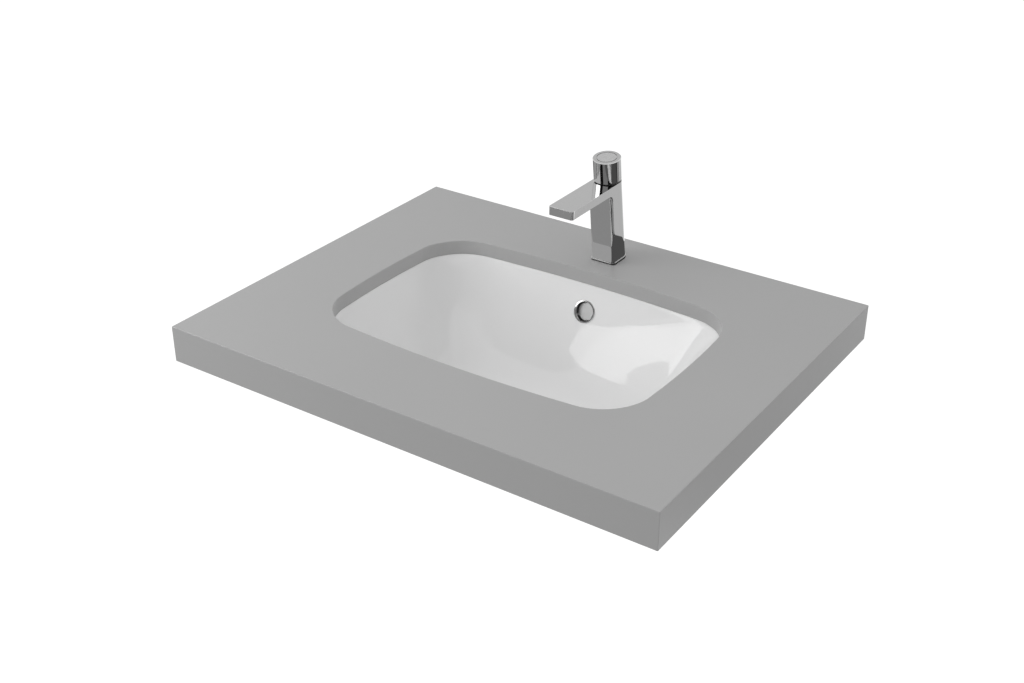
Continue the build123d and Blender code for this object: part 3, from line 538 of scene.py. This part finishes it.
def wall_ring(step, distance):
    """Ring at one step of the wall, at a distance behind the glaze."""
    (depth, inset), (down, inwards) = wall_line[step], wall_tangents[step]
    depth_share = depth / bowl_depth
    half_x, half_y = cutout_half[0] - end_wall_share * inset, cutout_half[1] - inset
    floor_corner = floor_corner_share * (half_y - bows_at(half_x, half_y, depth_share)[0])
    rim_part = (1 - min(depth_share, 1)) ** corner_fade
    corner = cutout_corner * rim_part + floor_corner * (1 - rim_part)
    outwards = distance * down
    plan = bowed_outline(half_x + outwards, half_y + outwards, corner + outwards, depth_share)
    return level_ring(plan, rim_z - depth - distance * inwards)


def rim_ring(outwards, z):
    half_x, half_y = cutout_half + outwards
    return level_ring(bowed_outline(half_x, half_y, cutout_corner + outwards), z)


def round_ring(like, radius, z):
    """Circle whose points lie in the directions of another ring's."""
    angles = np.arctan2(like[:, 1], like[:, 0])
    return level_ring(np.column_stack((radius * np.cos(angles), radius * np.sin(angles))), z)


def blended_rings(first, last):
    """The rings between two rings, across the floor."""
    return [first + (last - first) * i / floor_steps for i in range(1, floor_steps)]


def outlet_profile(floor_z):
    """Radius and height of each ring round the outlet: recess, bore, boss and its fillet."""
    recess_z, under_z, boss_z = floor_z - recess_depth, floor_z - china, floor_z - boss_length
    profile = [(outlet_recess + aside, floor_z - drop) for aside, drop in recess_rounding]
    profile += [(outlet_recess, recess_z), (outlet_radius, recess_z), (outlet_radius, boss_z)]
    profile += [(boss_radius - aside, boss_z + rise) for aside, rise in boss_rounding]
    profile += [(boss_radius + aside, under_z - drop) for aside, drop in boss_fillet]
    return profile


def basin_shell():
    """Closed skin over the bowl's inside, its outlet, its outside and the flange."""
    flange_z = rim_z - flange_thick
    inner = [wall_ring(step, 0) for step in range(len(wall_line))]
    outer = [wall_ring(step, china) for step in reversed(range(len(wall_line)))]
    outer = [ring for ring in outer if ring[0][2] < flange_z - flange_clear]
    outlet = [round_ring(inner[-1], radius, z) for radius, z in outlet_profile(rim_z - bowl_depth)]
    rings = [rim_ring(aside, rim_z - drop) for aside, drop in rim_rounding]
    rings += inner[1:]
    rings += blended_rings(inner[-1], outlet[0])
    rings += outlet
    rings += blended_rings(outlet[-1], outer[0])
    rings += outer
    rings.append(rim_ring(flange_root, flange_z))
    rings += [rim_ring(flange_width - aside, flange_z + rise) for aside, rise in flange_rounding]
    rings += [rim_ring(flange_width - aside, rim_z - drop) for aside, drop in flange_rounding[::-1]]
    return join_rings(rings, closed=True)


# Overflow: a hole in the back wall, and its channel's casing behind it
casing_half, casing_near, casing_far, casing_shoulder = 0.029, china - 0.001, china + 0.019, 0.010
casing_first_step, casing_rise, casing_top_z = 4, 0.012, rim_z - 0.006
above_hole, at_hole, below_hole = wall_shares[1:4]
overflow_lean = atan2(
    (below_hole[1] - above_hole[1]) * cutout_half[1],
    (below_hole[0] - above_hole[0]) * bowl_depth,
)
overflow_centre = Vector((0, cutout_half[1] * (1 - at_hole[1]), rim_z - at_hole[0] * bowl_depth))
overflow_axis = Vector((0, -cos(overflow_lean), sin(overflow_lean)))
hole_radius, hole_length = 0.015, 0.030
drain_foot, drain_length = Vector((0, 0, -0.2)), 0.1
pocket_radius, pocket_depth, cutter_lead = 0.0146, 0.010, 0.004


def casing_section():
    """Across and behind the glaze: a flat front inside the wall and a back with round shoulders."""
    bend_x, bend_y = casing_half - casing_shoulder, casing_far - casing_shoulder
    section = [(-casing_half, casing_near), (casing_half, casing_near)]
    section += arc((bend_x, bend_y), casing_shoulder, 0, pi / 2, 8, whole=True)
    section += arc((-bend_x, bend_y), casing_shoulder, pi / 2, pi, 8, whole=True)
    return section


def overflow_casing():
    """Half-round casing of the overflow channel, down the back wall and under the floor."""
    profile = []
    for step in range(casing_first_step, len(wall_line)):
        (depth, inset), (down, inwards) = wall_line[step], wall_tangents[step]
        profile.append((cutout_half[1] - inset, rim_z - depth, down, inwards))
    end_y, end_z = profile[-1][:2]
    profile += [(end_y * (1 - i / floor_steps), end_z, 0, 1) for i in range(1, floor_steps)]
    rings = []
    for y, z, down, inwards in profile:
        section = casing_section()
        rings.append([(x, y + behind * down, z - behind * inwards) for x, behind in section])
    top = [(x, y, min(z + casing_rise, casing_top_z)) for x, y, z in rings[0]]
    return join_rings([top] + rings)


def make_basin():
    shell = solid_object("basin_shell", *basin_shell())
    casing = solid_object("overflow_casing", *overflow_casing())
    start = overflow_centre + overflow_axis * cutter_lead
    cut(shell, [round_cutter("hole", start, -overflow_axis, hole_radius, hole_length)])
    pocket_length = cutter_lead + china + pocket_depth
    cut(casing, [round_cutter("pocket", start, -overflow_axis, pocket_radius, pocket_length)])
    cut(casing, [round_cutter("outlet", drain_foot, up, outlet_radius, drain_length)])
    joined_piece("china_basin", (shell, casing), "basin")


make_basin()


# Tap body: upright with a half-round back, flat spout and a fillet in the throat
tap_half = 0.0182
tap_foot_z, tap_top_z, spout_under_z = 0.0228, 0.1384, 0.1264
tap_back_foot_y, spout_tip_y = 0.2331, 0.0795
tap_foot_depth, tap_top_depth = 0.0438, 0.041
tap_front_foot_y = tap_back_foot_y - tap_foot_depth
tap_back_slope = tan(radians(8.5))
tap_top_back_y = tap_back_foot_y - (tap_top_z - tap_foot_z) * tap_back_slope
tap_front_slope = (tap_front_foot_y - (tap_top_back_y - tap_top_depth)) / (tap_top_z - tap_foot_z)
column_corner, throat_corner, spout_corner = 0.0042, 0.0006, 0.003
broken_edge, throat_radius, throat_steps = 0.0003, 0.006, 12
upright_heights = np.linspace(0.030, 0.112, 7)
flush_gap, flush_run = 0.001, 0.002

# Hollows in it: where each starts, with the first two under the knob's foot, its radius and its length
chamber_under, chamber_radius, chamber_length = 0.03705, 0.01265, 0.050
nut_seat_under, nut_seat_radius, nut_seat_length = 0.00705, 0.01405, 0.020
aerator_foot_z, aerator_radius, aerator_length = 0.120, 0.00925, 0.0149
inlet_x, inlet_y, inlet_radius, inlet_length = 0.008, 0.2062, 0.0045, 0.0148


def tap_back(z):
    return tap_back_foot_y - (z - tap_foot_z) * tap_back_slope


def tap_front(z):
    return tap_front_foot_y - (z - tap_foot_z) * tap_front_slope


throat_z = spout_under_z - throat_radius
throat_y = tap_front(throat_z) - throat_radius * hypot(1, tap_front_slope)


def upright_ring(z, front, corner, shrink=0.0, side_steps=8):
    """Level ring round the tap: flat front, round front corners, flat sides and half-round back."""
    front_steps, corner_steps, back_steps = 8, 10, 48
    half = tap_half - shrink
    middle = tap_back(z) - tap_half
    front += shrink
    bend_x, bend_y = half - corner, front + corner
    run = middle - front - corner
    plan = [(-bend_x + 2 * bend_x * i / front_steps, front) for i in range(front_steps)]
    plan += arc((bend_x, bend_y), corner, -pi / 2, 0, corner_steps)
    plan += [(half, bend_y + run * i / side_steps) for i in range(side_steps)]
    plan += arc((0, middle), half, 0, pi, back_steps, whole=True)
    plan += [(-half, bend_y + run * (1 - i / side_steps)) for i in range(1, side_steps)]
    plan += arc((-bend_x, bend_y), corner, pi, 3 * pi / 2, corner_steps)
    return [(x, y, z) for x, y in plan]


def column_rings():
    """Rings up the upright, whose front curves out under the spout while its corners get fine."""
    foot_front = tap_front(tap_foot_z)
    rings = [upright_ring(tap_foot_z, foot_front, column_corner - broken_edge, broken_edge)]
    rings.append(upright_ring(tap_foot_z + broken_edge, foot_front, column_corner))
    rings += [upright_ring(z, tap_front(z), column_corner) for z in upright_heights]
    start = atan2(tap_front_slope, 1)
    for i in range(throat_steps + 1):
        angle = start + (pi / 2 - start) * i / throat_steps
        share = i / throat_steps
        corner = column_corner + (throat_corner - column_corner) * share * share * (3 - 2 * share)
        z, front = throat_z + throat_radius * sin(angle), throat_y + throat_radius * cos(angle)
        rings.append(upright_ring(z, front, corner))
    return rings


def drawn_in(x, y, z, step):
    """A point of the spout's ring, moved inwards."""
    if y < spout_tip_y + spout_corner:
        inner_y = y + step
    elif y > tap_back(z) - tap_half:
        inner_y = y - step
    else:
        inner_y = y
    return x * (1 - step / tap_half), inner_y, z


def spout_ring(z, inset, flush):
    """Ring round the spout at an edge; a flush one isn't drawn in where it meets the upright."""
    ring = []
    for x, y, height in upright_ring(z, spout_tip_y, spout_corner, side_steps=40):
        reach = min(max((throat_y - flush_gap - y) / flush_run, 0), 1) if flush else 1.0
        ring.append(drawn_in(x, y, height, inset * reach))
    return ring


def spout_rings():
    """Rings up the spout, whose edges are only just broken."""
    insets = ((0, broken_edge), (0.3 * broken_edge, 0.3 * broken_edge), (broken_edge, 0))
    rings = [spout_ring(spout_under_z + rise, inset, flush=True) for rise, inset in insets]
    rings += [spout_ring(tap_top_z - drop, inset, flush=False) for drop, inset in reversed(insets)]
    return rings


def knob_cutters():
    """Cartridge chamber and nut seat, on the knob's axis."""
    chamber_foot = knob_foot - knob_axis * chamber_under
    nut_foot = knob_foot - knob_axis * nut_seat_under
    return [
        round_cutter("chamber", chamber_foot, knob_axis, chamber_radius, chamber_length),
        round_cutter("nut_seat", nut_foot, knob_axis, nut_seat_radius, nut_seat_length),
    ]


def make_tap_body():
    column = solid_object("upright", *join_rings(column_rings()))
    spout = solid_object("spout", *join_rings(spout_rings()))
    cut(column, knob_cutters())
    cut(spout, knob_cutters())
    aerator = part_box("aerator_housing")
    aerator_foot = Vector((0, (aerator[0].y + aerator[1].y) / 2, aerator_foot_z))
    cut(spout, [round_cutter("recess", aerator_foot, up, aerator_radius, aerator_length)])
    inlets = [Vector((side * inlet_x, inlet_y, worktop_z)) for side in (-1, 1)]
    cut(column, [round_cutter("inlet", foot, up, inlet_radius, inlet_length) for foot in inlets])
    joined_piece("tap_upright_and_spout", (column, spout), "tap_body")


make_tap_body()


# Threads and perforations, grown by geometry nodes
class Recipe:
    """A tree of geometry nodes with named sizes, which grows one piece on each vertex of a mesh."""

    def __init__(self, name, sizes):
        self.group = bpy.data.node_groups.new(name, "GeometryNodeTree")
        interface = self.group.interface
        sockets = [("Geometry", "Geometry"), ("Material", "Material")]
        sockets += [(size, "Float") for size in sizes]
        for label, kind in sockets:
            interface.new_socket(label, in_out="INPUT", socket_type="NodeSocket" + kind)
        interface.new_socket("Geometry", in_out="OUTPUT", socket_type="NodeSocketGeometry")
        self.given = self.group.nodes.new("NodeGroupInput").outputs
        self.sizes = [self.given[size] for size in sizes]

    def node(self, kind, settings=None, inputs=None, out=0):
        made = self.group.nodes.new(kind)
        for name, value in (settings or {}).items():
            setattr(made, name, value)
        for name, value in (inputs or {}).items():
            for given in value if isinstance(value, list) else [value]:
                if isinstance(given, bpy.types.NodeSocket):
                    self.group.links.new(given, made.inputs[name])
                else:
                    made.inputs[name].default_value = given
        return made.outputs[out] if made.outputs else None

    def sum(self, operation, *values):
        return self.node("ShaderNodeMath", {"operation": operation}, dict(enumerate(values)))

    def lift(self, geometry, height):
        raised = self.node("ShaderNodeCombineXYZ", {}, {"Z": height})
        return self.node("GeometryNodeTransform", {}, {"Geometry": geometry, "Translation": raised})

    def finish(self, piece):
        inputs = {"Points": self.given["Geometry"], "Instance": piece}
        placed = self.node("GeometryNodeInstanceOnPoints", {}, inputs)
        real = self.node("GeometryNodeRealizeInstances", {}, {"Geometry": placed})
        inputs = {"Geometry": real, "Material": self.given["Material"]}
        painted = self.node("GeometryNodeSetMaterial", {}, inputs)
        self.node("NodeGroupOutput", {}, {"Geometry": painted})
        return self.group


def thread_recipe():
    """Rod with a single-start thread: a diamond section swept up a helix round a core."""
    recipe = Recipe("threaded_rod", ("Radius", "Pitch", "Depth", "Length"))
    radius, pitch, depth, length = recipe.sizes
    core = recipe.sum("SUBTRACT", radius, depth)
    climb = recipe.sum("SUBTRACT", length, recipe.sum("MULTIPLY", depth, 2.0))
    turns = recipe.sum("DIVIDE", climb, pitch)
    inputs = {
        "Resolution": 20,
        "Rotations": turns,
        "Start Radius": core,
        "End Radius": core,
        "Height": climb,
    }
    helix = recipe.node("GeometryNodeCurveSpiral", {}, inputs)
    level = recipe.node("GeometryNodeSetCurveNormal", {"mode": "Z_UP"}, {"Curve": helix})
    inputs = {"Resolution": 4, "Radius": depth}
    section = recipe.node("GeometryNodeCurvePrimitiveCircle", {}, inputs)
    inputs = {"Curve": level, "Profile Curve": section, "Fill Caps": True}
    ridge = recipe.lift(recipe.node("GeometryNodeCurveToMesh", {}, inputs), depth)
    inputs = {"Vertices": 24, "Radius": core, "Depth": length}
    rod = recipe.node("GeometryNodeMeshCylinder", {}, inputs)
    rod = recipe.lift(rod, recipe.sum("MULTIPLY", length, 0.5))
    return recipe.finish(recipe.node("GeometryNodeJoinGeometry", {}, {"Geometry": [ridge, rod]}))


def staggered_places(recipe, pitch):
    """Three rows of three places, with the middle row half a pitch aside."""
    row = recipe.sum("MULTIPLY", pitch, sqrt(3) / 2)
    half_row, half_pitch = (recipe.sum("MULTIPLY", size, 0.5) for size in (row, pitch))
    inputs = {
        "Size X": recipe.sum("MULTIPLY", pitch, 2.0),
        "Size Y": recipe.sum("MULTIPLY", row, 2.0),
        "Vertices X": 3,
        "Vertices Y": 3,
    }
    grid = recipe.node("GeometryNodeMeshGrid", {}, inputs)
    place = recipe.node("GeometryNodeInputPosition")
    height = recipe.node("ShaderNodeSeparateXYZ", {}, {0: place}, out="Y")
    in_middle = recipe.sum("LESS_THAN", recipe.sum("ABSOLUTE", height), half_row)
    aside = recipe.sum("MULTIPLY", recipe.sum("SUBTRACT", in_middle, 0.5), half_pitch)
    step = recipe.node("ShaderNodeCombineXYZ", {}, {"X": aside})
    return recipe.node("GeometryNodeSetPosition", {}, {"Geometry": grid, "Offset": step})


def perforated_recipe():
    """Disc with round holes, staggered in three rows of three."""
    recipe = Recipe("perforated_disc", ("Radius", "Hole radius", "Pitch", "Thickness"))
    radius, hole, pitch, thick = recipe.sizes
    places = staggered_places(recipe, pitch)
    ring = recipe.node("GeometryNodeCurvePrimitiveCircle", {}, {"Resolution": 20, "Radius": hole})
    holes = recipe.node("GeometryNodeInstanceOnPoints", {}, {"Points": places, "Instance": ring})
    holes = recipe.node("GeometryNodeRealizeInstances", {}, {"Geometry": holes})
    edge = recipe.node("GeometryNodeCurvePrimitiveCircle", {}, {"Resolution": 72, "Radius": radius})
    outlines = recipe.node("GeometryNodeJoinGeometry", {}, {"Geometry": [edge, holes]})
    face = recipe.node("GeometryNodeFillCurve", {}, {"Curve": outlines})
    inputs = {"Mesh": face, "Offset Scale": thick, "Individual": False}
    top = recipe.node("GeometryNodeExtrudeMesh", {}, inputs)
    under = recipe.node("GeometryNodeFlipFaces", {}, {"Mesh": face})
    both = recipe.node("GeometryNodeJoinGeometry", {}, {"Geometry": [top, under]})
    inputs = {"Geometry": both, "Distance": 1e-6}
    return recipe.finish(recipe.node("GeometryNodeMergeByDistance", {}, inputs))


def grow(name, group, feet, sizes, node_name):
    """Run a recipe on the feet and put the plain mesh in a node's place."""
    piece = solid_object(name, feet, [])
    growth = piece.modifiers.new("growth", "NODES")
    growth.node_group = group
    values = dict(sizes, Material=finishes[slot_of_node[node_name]])
    for item in group.interface.items_tree:
        if item.in_out == "INPUT" and item.name in values:
            growth[item.identifier] = values[item.name]
    graph = bpy.context.evaluated_depsgraph_get()
    mesh = bpy.data.meshes.new_from_object(piece.evaluated_get(graph))
    piece.modifiers.clear()
    turn_outwards(mesh)
    piece.data = mesh
    dress(piece, "fixed_parts", node_name)


def middles(node_name, apart):
    """Middles in plan of a node's separate solids that stand apart from each other."""
    groups = []
    for vertex in nodes[node_name].data.vertices:
        place = vertex.co.xy
        near = [group for group in groups if (place - group[0]).length <= apart]
        if near:
            near[0].append(place)
        else:
            groups.append([place])
    places = []
    for group in groups:
        xs, ys = [p.x for p in group], [p.y for p in group]
        places.append(((min(xs) + max(xs)) / 2, (min(ys) + max(ys)) / 2))
    return places


stud_gap = 0.010
stud_thread = {"Radius": 0.003, "Pitch": 0.001, "Depth": 0.00045}
perforations = {"Radius": 0.0078, "Hole radius": 0.0008, "Pitch": 0.0029}


def make_threads():
    group = thread_recipe()
    for node_name in ("clip_studs", "tap_fixing_stud"):
        low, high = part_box(node_name)
        feet = [(x, y, low.z) for x, y in middles(node_name, stud_gap)]
        sizes = dict(stud_thread, Length=high.z - low.z)
        grow(node_name + "_threaded", group, feet, sizes, node_name)


def make_aerator_insert():
    low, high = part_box("aerator_insert")
    foot = ((low.x + high.x) / 2, (low.y + high.y) / 2, low.z)
    sizes = dict(perforations, Thickness=high.z - low.z)
    grow("aerator_perforated_insert", perforated_recipe(), [foot], sizes, "aerator_insert")


make_threads()
make_aerator_insert()


# Studio: white floor far below, a white surround, a low softbox, fills that only light, and cards
def white_background(finish):
    """1 for the rays that show the background: the camera's, and those off metal and glaze."""
    kinds = ("Is Camera Ray", "Is Glossy Ray", "Is Transmission Ray")
    camera, glossy, clear = (finish.node("LightPath", out=kind) for kind in kinds)
    return camera.math("MAXIMUM", glossy).math("MAXIMUM", clear)


def flat_sheet(name, corners, material):
    """Four-cornered sheet of the studio."""
    mesh = bpy.data.meshes.new(name)
    mesh.from_pydata([tuple(corner) for corner in corners], [], [(0, 1, 2, 3)])
    mesh.materials.append(material)
    return add_object(name, mesh)


def make_floor():
    """White paint, as low under the worktop as a room's floor, that glows enough to stay white."""
    half, floor_z, glow_strength = 12, -0.83, 0.77
    corners = [(-half, -half), (half, -half), (half, half), (-half, half)]
    finish = Finish("floor_paint")
    colour = finish.tint(finish.noise(0.8, detail=3, roughness=0.5), grey(0.44), grey(0.46))
    paint = finish.node("BsdfDiffuse", {}, {"Color": colour})
    glow = finish.node("Emission", {}, {"Strength": white_background(finish) * glow_strength})
    lit = finish.node("AddShader", {}, {0: paint, 1: glow})
    floor = flat_sheet("floor", [(x, y, floor_z) for x, y in corners], finish.one_sided(lit))


def make_surround():
    """White for the rays that show the background, and a plain soft light for the rest."""
    finish = Finish("surround", world=True)
    white = (1, 1, 1, 1)
    shown = finish.node("Background", {}, {"Color": white, "Strength": 1.0})
    soft = finish.node("Background", {}, {"Color": white, "Strength": 0.66})
    both = finish.node("MixShader", {}, {0: white_background(finish), 1: soft, 2: shown})
    finish.node("OutputWorld", {}, {"Surface": both})
    bpy.context.scene.world = finish.material


second_mirror = 1.5


def hang_card(name, corners, tone, second_share=1.0):
    """Card that only metal and glaze reflect, and only on the side that it faces.

    Seen in a second mirror it glows at only a share of its tone, which paints shade into reflections of
    reflections.
    """
    finish = Finish(name)
    once = finish.node("LightPath", out="Glossy Depth").math("LESS_THAN", second_mirror)
    strength = once * (1 - second_share) + second_share
    glow = finish.node("Emission", {}, {"Color": (*grey(tone), 1), "Strength": strength})
    card = flat_sheet(name, corners, finish.one_sided(glow))
    for kind in ("camera", "diffuse", "shadow", "transmission"):
        setattr(card, "visible_" + kind, False)


def grey_card(name, where, aim, width, height, tone):
    """Upright card that faces a point."""
    turn = (Vector(aim) - Vector(where)).to_track_quat("Z", "Y").to_matrix()
    corners = []
    for x, y in ((-1, -1), (1, -1), (1, 1), (-1, 1)):
        corners.append(Vector(where) + turn @ Vector((x * width / 2, y * height / 2, 0)))
    hang_card(name, corners, tone)


flag_middle, flag_reach, flag_foot_z, flag_top_z = Vector((0, 0.17, 0)), 2.0, 0.25, 1.83


def front_flag(name, turn_from, turn_to, tone, second_share):
    """Tall card before the tap, between two compass turns in degrees from the right-hand side."""
    near, far = (
        flag_middle + Vector((cos(radians(turn)), sin(radians(turn)), 0)) * flag_reach
        for turn in (turn_from, turn_to)
    )
    foot, top = up * flag_foot_z, up * flag_top_z
    hang_card(name, [far + foot, near + foot, near + top, far + top], tone, second_share)


# Cards on the worktop lie just over it, and the strips at the tap's foot over them: painted shade and painted
# light, which only the chrome's reflections of the worktop show
table_card_z, strip_z, strip_width, strip_tone = 0.0203, 0.0204, 0.0018, 0.01


def table_card(name, left, right, front, back, tone, z=table_card_z):
    """Card that lies just over the worktop and faces up: a painted reflection, darker or lighter than the worktop,
    that only metal and glaze show.
    """
    hang_card(name, [(left, front, z), (right, front, z), (right, back, z), (left, back, z)], tone)


def foot_shade_strips():
    """Black strips before and beside the tap's foot, which it mirrors as a thin dark line: painted shade, in place
    of the gasket's shadow under its base plate.
    """
    low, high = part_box("tap_base_plate")
    front, right = low.y - strip_width, high.x + strip_width
    table_card("foot_strip_front", low.x, right, front, low.y, strip_tone, strip_z)
    table_card("foot_strip_right", high.x, right, front, high.y, strip_tone, strip_z)


def soft_lamp(name, where, aim, width, height, power, mirrored):
    """Rectangular softbox; one that isn't mirrored only lights, and shows in no metal or glaze."""
    data = bpy.data.lights.new(name, "AREA")
    data.shape = "RECTANGLE"
    data.size, data.size_y = width, height
    data.energy = power
    lamp = add_object(name, data)
    lamp.location = where
    lamp.rotation_mode = "QUATERNION"
    lamp.rotation_quaternion = (Vector(aim) - Vector(where)).to_track_quat("-Z", "Y")
    lamp.visible_glossy = mirrored


# Name, place, aim, width, height, power, and whether metal and glaze mirror it
lamps = (
    ("softbox", (-1.1485, -0.9794, 0.473), (-0.3195, -0.4204, 0.473), 1.10, 0.454, 4.1, True),
    ("high_fill", (-0.95, -0.72, 1.05), (0, 0, 0), 1.0, 0.7, 3.9, False),
    ("right_fill", (0.95, -0.30, 0.85), (-0.15, 0, -0.05), 0.8, 0.5, 0.55, False),
    ("side_fill", (1.5, 1.0, -0.15), (0, 0, -0.05), 1.0, 0.6, 2.0, False),
)

# Name, place, aim, width, height and tone
grey_cards = (
    ("back_card", (-1.5, 2.4, 1.3), (0, 0, 0.1), 3.4, 2.2, 0.68),
    ("rear_card", (0.2, 2.6, -0.15), (0, 0.2, 0.1), 2.2, 1.1, 0.60),
    ("right_card", (0.395, 1.217, -0.50), (0.02, 0.2, 0.08), 0.60, 0.9, 0.64),
    ("right_card_dim", (0.87, 0.90, -0.50), (0.02, 0.2, 0.08), 0.55, 0.9, 0.36),
    ("dark_strip_right", (0.96, 0.62, -0.36), (0, 0.2, 0.15), 0.20, 0.8, 0.03),
    ("dark_strip_left", (-0.96, 0.62, -0.36), (0, 0.2, 0.15), 0.30, 0.8, 0.03),
)

# Name, the turns that it starts and ends at, tone, and the share of it in a second mirror
front_flags = (
    ("dark_flag_left", -122, -95, 0.15, 0.07),
    ("dim_flag_middle", -95, -55, 0.36, 1.0),
    ("dark_flag_right", -55, -33, 0.15, 0.07),
    ("dim_flag_right", -33, 35, 0.12, 1.0),
)

# Painted reflections: dark, dim and light cards whose tones the chrome mirrors in place of the lit worktop
# Name, left, right, front, back and tone
painted_reflection_cards = (
    ("table_dark_right", 0.19, 0.36, 0.09, 0.29, 0.09),
    ("table_dark_back", 0.012, 0.10, 0.15, 0.276, 0.10),
    ("table_light_front", -0.08, 0.012, 0.156, 0.20, 0.49),
    ("table_dim_front", -0.18, 0.012, -0.02, 0.156, 0.36),
    ("table_dark_front", 0.05, 0.14, -0.05, 0.045, 0.12),
    ("table_dark_corner", 0.070, 0.15, 0.05, 0.15, 0.08),
    ("table_dim_tip", -0.19, -0.09, -0.156, -0.10, 0.36),
)


def make_studio():
    make_floor()
    make_surround()
    for lamp in lamps:
        soft_lamp(*lamp)
    for card in grey_cards:
        grey_card(*card)
    for flag in front_flags:
        front_flag(*flag)
    for card in painted_reflection_cards:
        table_card(*card)
    foot_shade_strips()


make_studio()

bpy.context.scene.view_settings.view_transform = "Standard"
